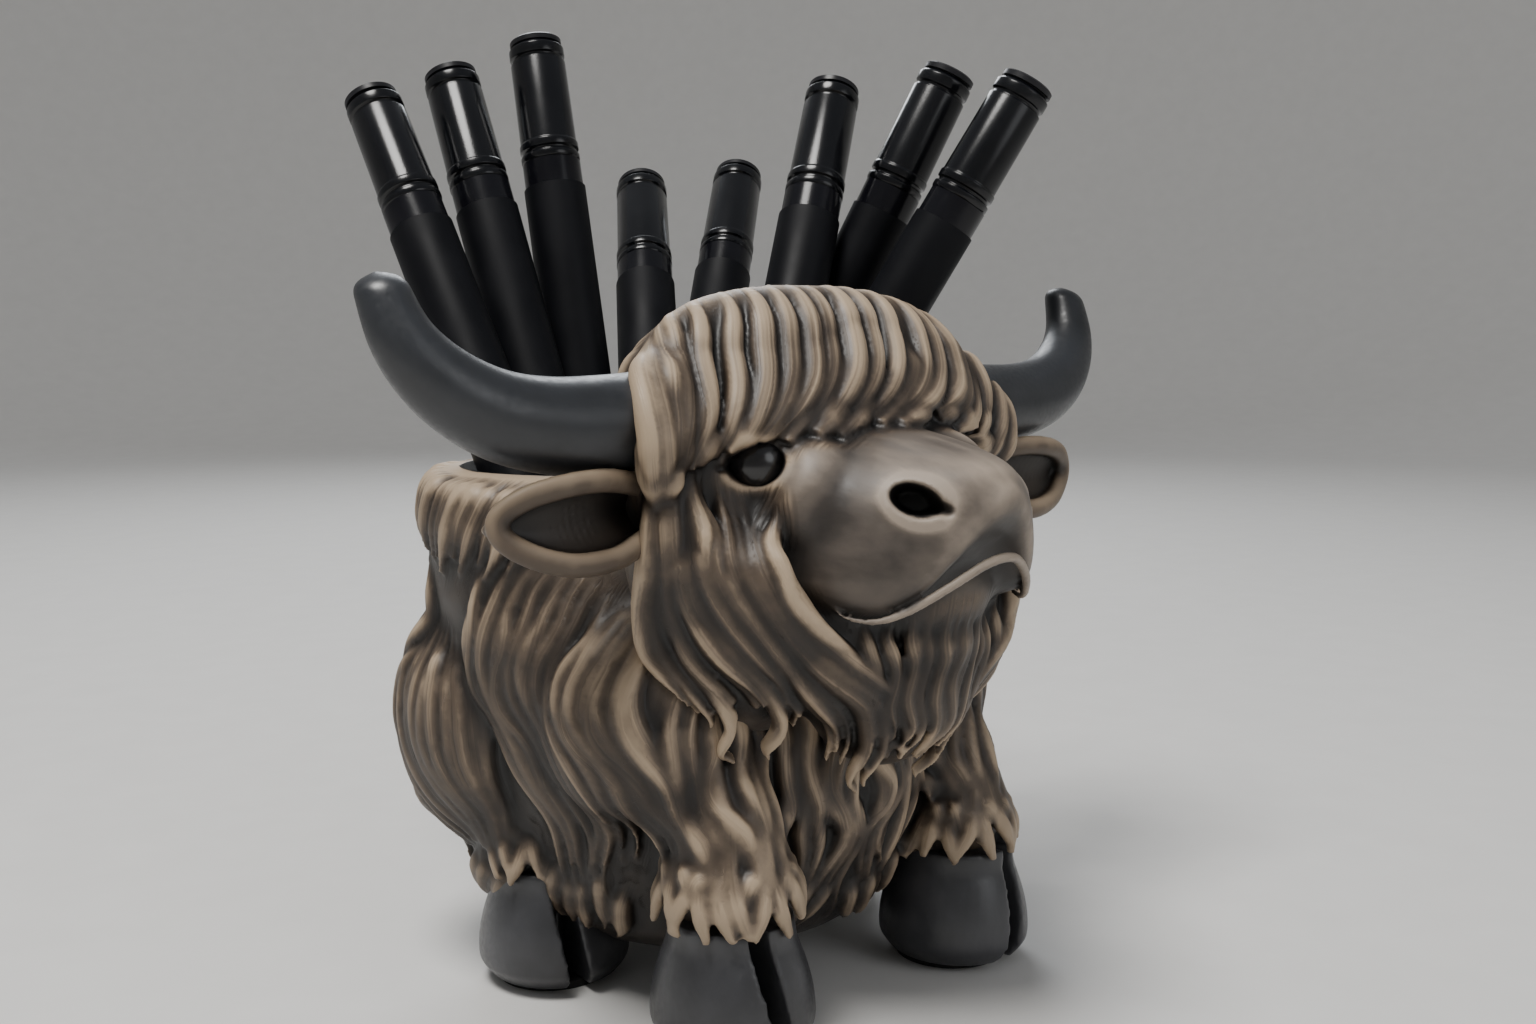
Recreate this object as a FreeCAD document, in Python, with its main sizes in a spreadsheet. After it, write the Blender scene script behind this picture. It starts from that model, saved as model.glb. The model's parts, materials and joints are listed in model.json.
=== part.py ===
import FreeCAD, Part
import Sketcher
import math
import os
from FreeCAD import Placement, Rotation, Vector

# A desk pen pot in the shape of a shaggy highland cow, holding eight black capped fineliner pens.
#
# Frame: +Z is up and the cow looks along -Y. Its left side is +X. The plane X = 0 halves the cow,
# which is symmetrical except that its left front foot stands a little further out. The origin is on
# the desk, under the centre of the whole object's bounding box.
# The cow is a painted resin casting. Its back opens as an oval cup, and the pens lean in the cup.
# All lengths are millimetres.

LEFT, RIGHT = 1, -1
SIDES = {"left": LEFT, "right": RIGHT}
PARTS_FOLDER = "parts"

# Driving dimensions, each one a named cell of the sheet "Sizes".
SIZES = {
    # the cow's cup
    "cup_half_width": 46.0,
    "cup_half_depth": 33.0,
    "cup_centre_back": 14.0,
    "cup_floor_height": 58.8,
    "rim_height": 104.0,
    # the haunches and shoulders, one of each on either side
    "haunch_side": 38.0,
    "haunch_back": 18.0,
    "haunch_height": 42.0,
    "haunch_half_width": 22.0,
    "haunch_half_depth": 28.0,
    "haunch_half_height": 36.0,
    "shoulder_side": 31.0,
    "shoulder_front": 24.0,
    "shoulder_height": 50.0,
    "shoulder_radius": 23.0,
    "leg_radius": 17.0,
    "leg_half_height": 26.0,
    "leg_height": 34.0,
    # the head: a mop of hair over the brow, hairy cheeks and a beard
    "mop_front": 34.0,
    "mop_height": 110.0,
    "mop_half_width": 45.5,
    "mop_half_depth": 17.0,
    "mop_half_height": 30.0,
    "cheek_front": 37.0,
    "cheek_height": 88.0,
    "cheek_half_width": 42.0,
    "cheek_half_depth": 20.0,
    "cheek_half_height": 34.0,
    "beard_front": 54.0,
    "beard_height": 66.0,
    "beard_half_width": 19.0,
    "beard_half_depth": 16.0,
    "beard_half_height": 20.0,
    "nostril_side": 13.5,
    "nostril_height": 100.0,
    "nostril_front": 75.0,
    "nostril_radius": 4.0,
    # horns
    "horn_root_radius": 8.9,
    "horn_tip_radius": 4.0,
    "horn_height": 113.6,
    "horn_front": 31.5,
    "horn_bend_side": 71.5,
    "horn_bend_radius": 17.0,
    "horn_tip_rise": 5.0,
    # ears
    "ear_side": 59.8,
    "ear_front": 36.5,
    "ear_height": 96.8,
    "ear_half_length": 17.0,
    "ear_half_thickness": 5.5,
    "ear_half_height": 8.4,
    "ear_root_radius": 3.0,
    # eyes
    "eye_side": 25.0,
    "eye_front": 42.5,
    "eye_height": 106.0,
    "eye_radius": 5.5,
    # hooves and the rubber pads under them
    "hoof_sole_radius": 15.3,
    "hoof_top_radius": 13.0,
    "hoof_top_height": 20.0,
    "hoof_peg_radius": 6.0,
    "hoof_peg_length": 9.0,
    "front_left_hoof_side": 32.0,
    "front_right_hoof_side": 29.5,
    "front_hoof_front": 40.0,
    "rear_hoof_side": 35.5,
    "rear_hoof_back": 7.5,
    "pad_thickness": 1.5,
    "pad_radius": 11.0,
    # a pen, measured up its own axis from its closed end
    "pen_length": 140.0,
    "barrel_length": 104.0,
    "barrel_radius": 7.0,
    "barrel_bore": 6.0,
    "barrel_floor": 2.5,
    "collar_radius": 6.6,
    "collar_top": 110.0,
    "neck_radius": 5.1,
    "neck_top": 117.0,
    "nose_radius": 2.4,
    "nose_top": 122.0,
    "section_bottom": 95.0,
    "ink_bore": 1.6,
    "nib_radius": 1.5,
    "nib_top": 126.0,
    "reservoir_radius": 5.4,
    "reservoir_top": 94.0,
    "cap_mouth_radius": 6.4,
    "cap_end_radius": 6.1,
    "cap_bore": 5.5,
    "cap_bore_top": 134.0,
    "cap_top": 138.4,
    "plug_radius": 5.9,
    "plug_stem_radius": 4.9,
    # clearances
    "glue_gap": 0.05,
    "fit_gap": 0.05,
    "seat_gap": 0.1,
}

# The torso is lofted through level ovals: height, half width, half depth, centre's distance back.
TORSO_OVALS = (
    (9.0, 40.0, 40.0, 0.0),
    (25.0, 50.0, 50.0, 1.0),
    (55.0, 56.0, 54.0, 1.0),
    (80.0, 56.0, 48.0, 7.0),
    (104.0, 53.0, 40.0, 14.0),
)

# The muzzle is lofted through upright ovals: distance forward, half width, half height, height.
MUZZLE_OVALS = (
    (44.0, 27.0, 20.0, 91.0),
    (62.0, 27.0, 18.5, 91.0),
    (73.0, 22.0, 16.5, 92.5),
    (81.0, 13.0, 11.0, 93.5),
)

# How each pen leans in the cup. Its foot is given right and back of the origin, and its slope is
# the distance that its axis moves right and back for each millimetre that it rises.
PENS = {
    "pen_1": {"foot": (-30.0, 1.3), "slope": (-0.025, 0.639)},
    "pen_2": {"foot": (-18.2, 11.4), "slope": (0.034, 0.499)},
    "pen_3": {"foot": (-4.1, 26.8), "slope": (0.056, 0.282)},
    "pen_4": {"foot": (-17.0, -5.0), "slope": (0.565, 0.761)},
    "pen_5": {"foot": (-3.7, 9.9), "slope": (0.682, 0.537)},
    "pen_6": {"foot": (-3.1, -9.2), "slope": (0.488, 0.238)},
    "pen_7": {"foot": (20.2, 32.0), "slope": (0.395, -0.293)},
    "pen_8": {"foot": (14.8, 18.3), "slope": (0.450, -0.385)},
}
PEN_REST_GAP = 0.4

doc = FreeCAD.newDocument("HighlandCowPenPot")


# ---------------------------------------------------------------------------- document helpers


def make_sheet():
    """The spreadsheet of driving dimensions: a name, a number and its alias on each row."""
    sheet = doc.addObject("Spreadsheet::Sheet", "Sizes")
    for row, (alias, value) in enumerate(SIZES.items(), start=1):
        sheet.set(f"A{row}", alias)
        sheet.set(f"B{row}", str(value))
        sheet.setAlias(f"B{row}", alias)
    doc.recompute()
    return sheet


def bind(item, **expressions):
    """Drive properties of a document object from the sheet; a double underscore stands for a dot."""
    for name, expression in expressions.items():
        item.setExpression(name.replace("__", "."), expression)


def place(item, right="0", back="0", up="0"):
    """Drive an object's position from the sheet."""
    bind(item, Placement__Base__x=right, Placement__Base__y=back, Placement__Base__z=up)


def turn(item, axis, degrees):
    """Turn an object about its own origin."""
    item.Placement = Placement(item.Placement.Base, Rotation(axis, degrees))


def ellipsoid(name, half_width, half_depth, half_height):
    """A whole ellipsoid with its half sizes along X, Y and Z."""
    item = doc.addObject("Part::Ellipsoid", name)
    item.Angle1, item.Angle2, item.Angle3 = -90, 90, 360
    bind(item, Radius1=half_height, Radius2=half_width, Radius3=half_depth)
    return item


def sphere(name, radius):
    item = doc.addObject("Part::Sphere", name)
    bind(item, Radius=radius)
    return item


def cylinder(name, radius, height):
    item = doc.addObject("Part::Cylinder", name)
    bind(item, Radius=radius, Height=height)
    return item


def cone(name, bottom, top, height):
    item = doc.addObject("Part::Cone", name)
    bind(item, Radius1=bottom, Radius2=top, Height=height)
    return item


def box(name, length, width, height):
    item = doc.addObject("Part::Box", name)
    item.Length, item.Width, item.Height = length, width, height
    return item


def fuse(name, pieces):
    item = doc.addObject("Part::MultiFuse", name)
    item.Shapes = pieces
    return item


def cut(name, base, tool):
    item = doc.addObject("Part::Cut", name)
    item.Base = base
    item.Tool = tool
    return item


def loft(name, sections):
    item = doc.addObject("Part::Loft", name)
    item.Sections = sections
    item.Solid = True
    return item


def oval(name, half_width, half_depth, placement):
    """An ellipse for a loft. A Part::Ellipse needs its longer half size first, so a tall oval is
    the same ellipse turned by a quarter."""
    item = doc.addObject("Part::Ellipse", name)
    item.MajorRadius = max(half_width, half_depth)
    item.MinorRadius = min(half_width, half_depth)
    quarter = Placement(Vector(), Rotation(Vector(0, 0, 1), 90 if half_depth > half_width else 0))
    item.Placement = placement.multiply(quarter)
    return item


# ---------------------------------------------------------------------------- torso


def torso_form():
    """The outside of the body: an oval barrel with haunches, shoulders and four short legs."""
    ovals = []
    for number, (height, half_width, half_depth, back) in enumerate(TORSO_OVALS, start=1):
        centre = Placement(Vector(0, back, height), Rotation())
        ovals.append(oval(f"TorsoOval{number}", half_width, half_depth, centre))
    pieces = [loft("TorsoBarrel", ovals)]
    for side, sign in SIDES.items():
        haunch = ellipsoid(f"{side}Haunch", "Sizes.haunch_half_width", "Sizes.haunch_half_depth",
                           "Sizes.haunch_half_height")
        place(haunch, f"{sign} * Sizes.haunch_side", "Sizes.haunch_back", "Sizes.haunch_height")
        shoulder = sphere(f"{side}Shoulder", "Sizes.shoulder_radius")
        place(shoulder, f"{sign} * Sizes.shoulder_side", "-Sizes.shoulder_front",
              "Sizes.shoulder_height")
        pieces += [haunch, shoulder]
    for where in HOOVES:
        leg = ellipsoid(f"{where}_leg", "Sizes.leg_radius", "Sizes.leg_radius",
                        "Sizes.leg_half_height")
        place(leg, *hoof_centre(where), "Sizes.leg_height")
        pieces.append(leg)
    return fuse("TorsoForm", pieces)


def cup_hollow():
    """The oval well in the cow's back, from the cup's floor up through the rim."""
    outline = doc.addObject("Part::Ellipse", "CupOutline")
    bind(outline, MajorRadius="Sizes.cup_half_width", MinorRadius="Sizes.cup_half_depth")
    place(outline, "0", "Sizes.cup_centre_back", "Sizes.cup_floor_height")
    well = doc.addObject("Part::Extrusion", "CupHollow")
    well.Base = outline
    well.DirMode = "Custom"
    well.Dir = Vector(0, 0, 1)
    well.Solid = True
    bind(well, LengthFwd="Sizes.rim_height - Sizes.cup_floor_height + 1")
    return well


# ---------------------------------------------------------------------------- hooves and pads

HOOVES = {
    "front_left": (LEFT, "Sizes.front_left_hoof_side", "-Sizes.front_hoof_front"),
    "front_right": (RIGHT, "Sizes.front_right_hoof_side", "-Sizes.front_hoof_front"),
    "rear_left": (LEFT, "Sizes.rear_hoof_side", "Sizes.rear_hoof_back"),
    "rear_right": (RIGHT, "Sizes.rear_hoof_side", "Sizes.rear_hoof_back"),
}
CLEFT_WIDTH = 2.4
CLEFT_DEPTH = 5.0


def hoof_centre(where):
    sign, side, back = HOOVES[where]
    return f"{sign} * {side}", back


def hoof_solid(name, where, gap):
    """A hoof with the peg that holds it in the leg. The gap grows it into its own socket."""
    hoof = cone(f"{name}_horn", f"Sizes.hoof_sole_radius + {gap}",
                f"Sizes.hoof_top_radius + {gap}", "Sizes.hoof_top_height - Sizes.pad_thickness")
    place(hoof, *hoof_centre(where), "Sizes.pad_thickness")
    peg = cylinder(f"{name}_peg", f"Sizes.hoof_peg_radius + {gap}",
                   f"Sizes.hoof_peg_length + {gap}")
    place(peg, *hoof_centre(where), "Sizes.hoof_top_height")
    return fuse(f"{name}_solid", [hoof, peg])


def hoof(where):
    """One cloven hoof, with its cleft at the front."""
    name = f"{where}_hoof"
    cleft = box(f"{name}_cleft", CLEFT_WIDTH, CLEFT_DEPTH, 30)
    right, back = hoof_centre(where)
    place(cleft, f"{right} - {CLEFT_WIDTH / 2}", f"{back} - Sizes.hoof_sole_radius", "0")
    return cut(name, hoof_solid(name, where, 0), cleft)


def pad(where):
    """The rubber pad under one hoof."""
    item = cylinder(f"{where}_pad", "Sizes.pad_radius", "Sizes.pad_thickness")
    place(item, *hoof_centre(where), "0")
    return item


# ---------------------------------------------------------------------------- head


def head_form():
    """The outside of the head: mop of hair, cheeks, beard and muzzle."""
    mop = ellipsoid("Mop", "Sizes.mop_half_width", "Sizes.mop_half_depth", "Sizes.mop_half_height")
    place(mop, "0", "-Sizes.mop_front", "Sizes.mop_height")
    cheeks = ellipsoid("Cheeks", "Sizes.cheek_half_width", "Sizes.cheek_half_depth",
                       "Sizes.cheek_half_height")
    place(cheeks, "0", "-Sizes.cheek_front", "Sizes.cheek_height")
    beard = ellipsoid("Beard", "Sizes.beard_half_width", "Sizes.beard_half_depth",
                      "Sizes.beard_half_height")
    place(beard, "0", "-Sizes.beard_front", "Sizes.beard_height")
    ovals = []
    for number, (front, half_width, half_height, height) in enumerate(MUZZLE_OVALS, start=1):
        upright = Placement(Vector(0, -front, height), Rotation(Vector(1, 0, 0), 90))
        ovals.append(oval(f"MuzzleOval{number}", half_width, half_height, upright))
    return fuse("HeadForm", [mop, cheeks, beard, loft("Muzzle", ovals)])


def face_cuts():
    """What is cut into the face: the nostrils, and a hollow in the hair before each eye."""
    tools = []
    for side, sign in SIDES.items():
        nostril = sphere(f"{side}Nostril", "Sizes.nostril_radius")
        place(nostril, f"{sign} * Sizes.nostril_side", "-Sizes.nostril_front",
              "Sizes.nostril_height")
        hollow = cylinder(f"{side}EyeHollow", "Sizes.eye_radius + 2", "8")
        turn(hollow, Vector(1, 0, 0), 90)
        place(hollow, f"{sign} * Sizes.eye_side", "-Sizes.eye_front - 1.5", "Sizes.eye_height")
        tools += [nostril, hollow]
    return tools


def head_casting(torso, head):
    """The head, seated on the front of the torso, with sockets for what is glued into it."""
    tools = face_cuts()
    for side, sign in SIDES.items():
        socket = sphere(f"{side}EyeSocket", "Sizes.eye_radius + Sizes.glue_gap")
        place(socket, f"{sign} * Sizes.eye_side", "-Sizes.eye_front", "Sizes.eye_height")
        horn_hole = plug(f"{side}HornHole", sign, HORN_PLUG,
                         "Sizes.horn_root_radius + Sizes.glue_gap")
        ear_hole = plug(f"{side}EarHole", sign, EAR_PLUG, "Sizes.ear_root_radius + Sizes.glue_gap")
        tools += [socket, horn_hole, ear_hole]
    seated = cut("HeadOnTorso", head, torso)
    return cut("head_casting", seated, fuse("HeadCuts", tools))


# ---------------------------------------------------------------------------- horns, ears, eyes

# What is glued into the head plugs in sideways: where the plug starts, how long it is, its axis.
HORN_PLUG = {"start": 35.0, "length": 17.0, "front": "Sizes.horn_front", "up": "Sizes.horn_height"}
EAR_PLUG = {"start": 30.0, "length": 16.0, "front": "Sizes.ear_front", "up": "Sizes.ear_height"}
HORN_RINGS = 10
HORN_TIP_SWEEP_BACK = 8.0


def plug(name, sign, where, radius):
    """A round plug that runs sideways out of the head."""
    item = cylinder(name, radius, str(where["length"]))
    turn(item, Vector(0, 1, 0), 90 * sign)
    place(item, f"{sign * where['start']}", f"-{where['front']}", where["up"])
    return item


def horn_stations():
    """Points along a left horn's centre line: straight out, then a quarter bend up to the tip.
    Each is the point, how far the horn has turned upward there in degrees, and the radius."""
    height, bend = SIZES["horn_height"], SIZES["horn_bend_radius"]
    root_side = HORN_PLUG["start"] + HORN_PLUG["length"]
    straight = SIZES["horn_bend_side"] - root_side
    bent = bend * math.pi / 2
    whole = straight + bent + SIZES["horn_tip_rise"]
    taper = SIZES["horn_root_radius"] - SIZES["horn_tip_radius"]
    stations = []
    for number in range(HORN_RINGS):
        part = number / (HORN_RINGS - 1)
        along = whole * part
        angle = min(max((along - straight) / bend, 0), math.pi / 2)
        side = root_side + min(along, straight) + bend * math.sin(angle)
        up = height + bend * (1 - math.cos(angle)) + max(along - straight - bent, 0)
        back = -SIZES["horn_front"] + HORN_TIP_SWEEP_BACK * part**3
        radius = SIZES["horn_root_radius"] - taper * part**2
        stations.append((Vector(side, back, up), math.degrees(angle), radius))
    return stations


def horn(side):
    """A horn: a straight root that plugs into the head, a bend that tapers, and a rounded tip."""
    sign = SIDES[side]
    rings = []
    for number, (point, degrees, radius) in enumerate(horn_stations(), start=1):
        ring = doc.addObject("Part::Circle", f"{side}HornRing{number}")
        ring.Radius = radius
        facing = Rotation(Vector(0, 1, 0), sign * (90 - degrees))
        ring.Placement = Placement(Vector(sign * point.x, point.y, point.z), facing)
        rings.append(ring)
    tip = sphere(f"{side}HornTip", "Sizes.horn_tip_radius - 0.1")
    end = horn_stations()[-1][0]
    tip.Placement.Base = Vector(sign * end.x, end.y, end.z)
    root = plug(f"{side}HornRoot", sign, HORN_PLUG, "Sizes.horn_root_radius")
    return fuse(f"{side}_horn", [root, loft(f"{side}HornLoft", rings), tip])


def ear(side):
    """A leaf-shaped ear, dished on the side that faces forward, with a round root.
    The seams of its surfaces face the head, because the left ear splits in two with them outside."""
    sign = SIDES[side]
    leaf = ellipsoid(f"{side}EarLeaf", "Sizes.ear_half_length", "Sizes.ear_half_thickness",
                     "Sizes.ear_half_height")
    turn(leaf, Vector(0, 0, 1), 90 + 90 * sign)
    place(leaf, f"{sign} * Sizes.ear_side", "-Sizes.ear_front", "Sizes.ear_height")
    dish = ellipsoid(f"{side}EarDish", "Sizes.ear_half_length - 5", "Sizes.ear_half_thickness - 1",
                     "Sizes.ear_half_height - 2.5")
    turn(dish, Vector(0, 0, 1), 90 + 90 * sign)
    place(dish, f"{sign} * (Sizes.ear_side + 2)", "-Sizes.ear_front - Sizes.ear_half_thickness",
          "Sizes.ear_height")
    root = plug(f"{side}EarRoot", sign, EAR_PLUG, "Sizes.ear_root_radius")
    return cut(f"{side}_ear", fuse(f"{side}EarOnRoot", [leaf, root]), dish)


def eye(side):
    """A round glass eye, set in its socket."""
    item = sphere(f"{side}_eye", "Sizes.eye_radius")
    place(item, f"{SIDES[side]} * Sizes.eye_side", "-Sizes.eye_front", "Sizes.eye_height")
    return item


# ---------------------------------------------------------------------------- pens

# Each outline is the half section of a turned piece: pairs of radius and height up the pen's axis.
# A radius of None is a point on the axis.
BARREL = (
    (None, "0.5"),
    ("Sizes.barrel_radius - 2.5", "0.01"),
    ("Sizes.barrel_radius", "1.5"),
    ("Sizes.barrel_radius", "Sizes.barrel_length"),
    ("Sizes.barrel_bore", "Sizes.barrel_length"),
    ("Sizes.barrel_bore", "Sizes.barrel_floor"),
    (None, "Sizes.barrel_floor"),
)
SECTION = (
    ("Sizes.ink_bore", "Sizes.section_bottom"),
    ("Sizes.barrel_bore - Sizes.fit_gap", "Sizes.section_bottom"),
    ("Sizes.barrel_bore - Sizes.fit_gap", "Sizes.barrel_length"),
    ("Sizes.collar_radius", "Sizes.barrel_length"),
    ("Sizes.collar_radius", "Sizes.collar_top"),
    ("Sizes.neck_radius", "Sizes.collar_top"),
    ("Sizes.neck_radius", "Sizes.neck_top"),
    ("Sizes.nose_radius", "Sizes.nose_top"),
    ("Sizes.ink_bore", "Sizes.nose_top"),
)
INK_CORE = (
    (None, "Sizes.barrel_floor + 0.5"),
    ("Sizes.reservoir_radius", "Sizes.barrel_floor + 0.5"),
    ("Sizes.reservoir_radius", "Sizes.reservoir_top"),
    ("Sizes.nib_radius", "Sizes.reservoir_top"),
    ("Sizes.nib_radius", "Sizes.nib_top - 1.5"),
    (None, "Sizes.nib_top"),
)
CAP = (
    ("Sizes.cap_bore", "Sizes.collar_top + Sizes.seat_gap"),
    ("Sizes.cap_mouth_radius", "Sizes.collar_top + Sizes.seat_gap"),
    ("Sizes.cap_end_radius", "Sizes.cap_top"),
    ("Sizes.plug_stem_radius + Sizes.fit_gap", "Sizes.cap_top"),
    ("Sizes.plug_stem_radius + Sizes.fit_gap", "Sizes.cap_bore_top"),
    ("Sizes.cap_bore", "Sizes.cap_bore_top"),
)
CAP_PLUG = (
    (None, "Sizes.cap_bore_top"),
    ("Sizes.plug_stem_radius", "Sizes.cap_bore_top"),
    ("Sizes.plug_stem_radius", "Sizes.cap_top"),
    ("Sizes.plug_radius", "Sizes.cap_top"),
    ("Sizes.plug_radius", "Sizes.pen_length - 0.5"),
    ("Sizes.plug_radius - 0.6", "Sizes.pen_length - 0.1"),
    (None, "Sizes.pen_length"),
)
PEN_PIECES = {
    "barrel": BARREL,
    "section": SECTION,
    "ink_core": INK_CORE,
    "cap": CAP,
    "cap_plug": CAP_PLUG,
}


def origin_plane(body, role):
    return next(item for item in body.Origin.OriginFeatures if item.Role == role)


def add_outline(sketch, outline):
    """Draw a closed outline of straight lines, and tie each corner to the sheet."""
    count = len(outline)
    for number in range(count):
        start = Vector(10 + number, 10 + 7 * number, 0)
        end = Vector(10 + (number + 1) % count, 10 + 7 * ((number + 1) % count), 0)
        sketch.addGeometry(Part.LineSegment(start, end), False)
    for number in range(count):
        sketch.addConstraint(Sketcher.Constraint("Coincident", number, 2, (number + 1) % count, 1))
    for number, (radius, height) in enumerate(outline):
        if radius is None:
            sketch.addConstraint(Sketcher.Constraint("PointOnObject", number, 1, -2))
        else:
            across = sketch.addConstraint(Sketcher.Constraint("DistanceX", -1, 1, number, 1, 10.0))
            sketch.setExpression(f"Constraints[{across}]", radius)
        along = sketch.addConstraint(Sketcher.Constraint("DistanceY", -1, 1, number, 1, 10.0))
        sketch.setExpression(f"Constraints[{along}]", height)


def turned_piece(name, outline, placement):
    """A round piece made by turning its outline about the pen's axis."""
    body = doc.addObject("PartDesign::Body", name)
    sketch = body.newObject("Sketcher::SketchObject", f"{name}_outline")
    sketch.AttachmentSupport = [(origin_plane(body, "XZ_Plane"), "")]
    sketch.MapMode = "FlatFace"
    add_outline(sketch, outline)
    revolution = body.newObject("PartDesign::Revolution", f"{name}_turned")
    revolution.Profile = sketch
    revolution.ReferenceAxis = (sketch, ["V_Axis"])
    revolution.Angle = 360
    body.Tip = revolution
    body.Placement = placement
    return body


def pen_placement(foot, slope):
    """Stand a pen in the cup: its axis follows the slope, and its lower edge clears the floor."""
    axis = Vector(slope[0], slope[1], 1).normalize()
    sunk_edge = SIZES["barrel_radius"] * math.sqrt(1 - axis.z**2)
    height = SIZES["cup_floor_height"] + sunk_edge + PEN_REST_GAP
    return Placement(Vector(foot[0], foot[1], height), Rotation(Vector(0, 0, 1), axis))


# ---------------------------------------------------------------------------- the whole object


def build():
    """Make every sub-part and return them."""
    torso = torso_form()
    head = head_form()
    sockets = [hoof_solid(f"{where}_socket", where, SIZES["glue_gap"]) for where in HOOVES]
    body = cut("body_casting", torso, fuse("BodyCuts", [cup_hollow()] + sockets))
    pieces = [body, head_casting(torso, head)]
    for side in SIDES:
        pieces += [horn(side), ear(side), eye(side)]
    for where in HOOVES:
        pieces += [hoof(where), pad(where)]
    for pen, lean in PENS.items():
        placement = pen_placement(**lean)
        for piece, outline in PEN_PIECES.items():
            pieces.append(turned_piece(f"{pen}_{piece}", outline, placement))
    return pieces


def check_document(pieces):
    """Stop when anything in the document failed, or a sub-part isn't one valid solid."""
    for item in doc.Objects:
        if {"Invalid", "Error"} & set(item.State):
            raise RuntimeError(f"{item.Label} is in state {item.State}")
    for piece in pieces:
        shape = piece.Shape
        if shape.isNull() or not shape.isValid():
            raise RuntimeError(f"{piece.Label} has no valid shape")
        if len(shape.Solids) != 1:
            raise RuntimeError(f"{piece.Label} is {len(shape.Solids)} solids")


def write_parts(pieces):
    os.makedirs(PARTS_FOLDER, exist_ok=True)
    for piece in pieces:
        piece.Shape.exportStep(os.path.join(PARTS_FOLDER, f"{piece.Label}.step"))
        print(f"{piece.Label}: {piece.Shape.Volume / 1000:.2f} cm3")


make_sheet()
sub_parts = build()
doc.recompute()
check_document(sub_parts)
write_parts(sub_parts)
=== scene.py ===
import json
import math
import random

import bmesh
import bpy
import numpy as np
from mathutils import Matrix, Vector
from mathutils.bvhtree import BVHTree
from mathutils.kdtree import KDTree


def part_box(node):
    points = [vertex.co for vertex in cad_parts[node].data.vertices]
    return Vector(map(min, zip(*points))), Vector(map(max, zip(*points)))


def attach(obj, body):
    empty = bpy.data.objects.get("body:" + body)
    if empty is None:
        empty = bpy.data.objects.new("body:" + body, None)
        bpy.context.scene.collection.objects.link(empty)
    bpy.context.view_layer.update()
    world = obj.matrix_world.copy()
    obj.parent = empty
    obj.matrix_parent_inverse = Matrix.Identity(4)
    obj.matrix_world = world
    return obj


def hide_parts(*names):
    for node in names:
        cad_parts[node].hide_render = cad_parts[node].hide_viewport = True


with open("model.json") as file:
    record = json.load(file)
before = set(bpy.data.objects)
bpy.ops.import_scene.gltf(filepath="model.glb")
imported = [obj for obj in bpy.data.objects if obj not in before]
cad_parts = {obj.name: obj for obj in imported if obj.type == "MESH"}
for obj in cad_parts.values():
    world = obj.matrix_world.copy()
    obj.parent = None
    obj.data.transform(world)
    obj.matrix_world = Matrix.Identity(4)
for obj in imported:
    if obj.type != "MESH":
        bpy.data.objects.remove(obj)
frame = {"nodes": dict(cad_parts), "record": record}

# A painted resin pen pot: a squat highland cow with an oval cup in its back and eight black pens.
#
# The cow's skin is sculpted here in millimetres: plain forms are heaped up and melted into one
# smooth base, locks of hair are combed over that base, and all of it is melted again. Every other
# length is in metres. +Z is up, the cow looks along -Y, and its left side is +X.

MM = 0.001
HOLDER = "holder"
LEFT, RIGHT = 1, -1
SIDES = {"left": LEFT, "right": RIGHT}
HOOVES = ("front_left", "front_right", "rear_left", "rear_right")
PENS = [f"pen_{number}" for number in range(1, 9)]
UP = np.array((0.0, 0.0, 1.0))

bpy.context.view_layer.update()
chance = random.Random(7)


# ---------------------------------------------------------------------------- places in the frame


def span(node):
    """The lowest and highest corners of a CAD node, in millimetres."""
    low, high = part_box(node)
    return np.array(low) / MM, np.array(high) / MM


def middle(node):
    low, high = span(node)
    return (low + high) / 2


def mirrored(point, sign):
    """A point given for the cow's left side, on the side that sign names."""
    return np.array((sign * point[0], point[1], point[2]), float)


EYE = middle("left_eye")
RIM_HEIGHT = span("body_casting")[1][2]


# ---------------------------------------------------------------------------- meshes


def make_object(name, points_mm, faces):
    """A mesh object from points in millimetres."""
    mesh = bpy.data.meshes.new(name)
    mesh.from_pydata((np.asarray(points_mm, float) * MM).tolist(), [], faces)
    mesh.update()
    piece = bpy.data.objects.new(name, mesh)
    bpy.context.scene.collection.objects.link(piece)
    return piece


def bake_modifiers(piece):
    """Replace an object's mesh by what its modifiers make of it."""
    graph = bpy.context.evaluated_depsgraph_get()
    mesh = bpy.data.meshes.new_from_object(piece.evaluated_get(graph))
    old = piece.data
    piece.modifiers.clear()
    piece.data = mesh
    mesh.name = old.name
    bpy.data.meshes.remove(old)
    return piece


def shade_smooth(piece):
    piece.data.polygons.foreach_set("use_smooth", [True] * len(piece.data.polygons))


def points_of(mesh):
    """A mesh's points as rows, in millimetres."""
    flat = np.empty(len(mesh.vertices) * 3, np.float32)
    mesh.vertices.foreach_get("co", flat)
    return flat.reshape(-1, 3).astype(float) / MM


def set_points(mesh, points_mm):
    mesh.vertices.foreach_set("co", (points_mm * MM).astype(np.float32).ravel())
    mesh.update()


def normals_of(mesh):
    flat = np.empty(len(mesh.vertices) * 3, np.float32)
    mesh.vertex_normals.foreach_get("vector", flat)
    return flat.reshape(-1, 3).astype(float)


def unit(vector):
    return vector / max(np.linalg.norm(vector), 1e-9)


def smoothstep(value, low, high):
    part = np.clip((value - low) / (high - low), 0, 1)
    return part * part * (3 - 2 * part)


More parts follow.
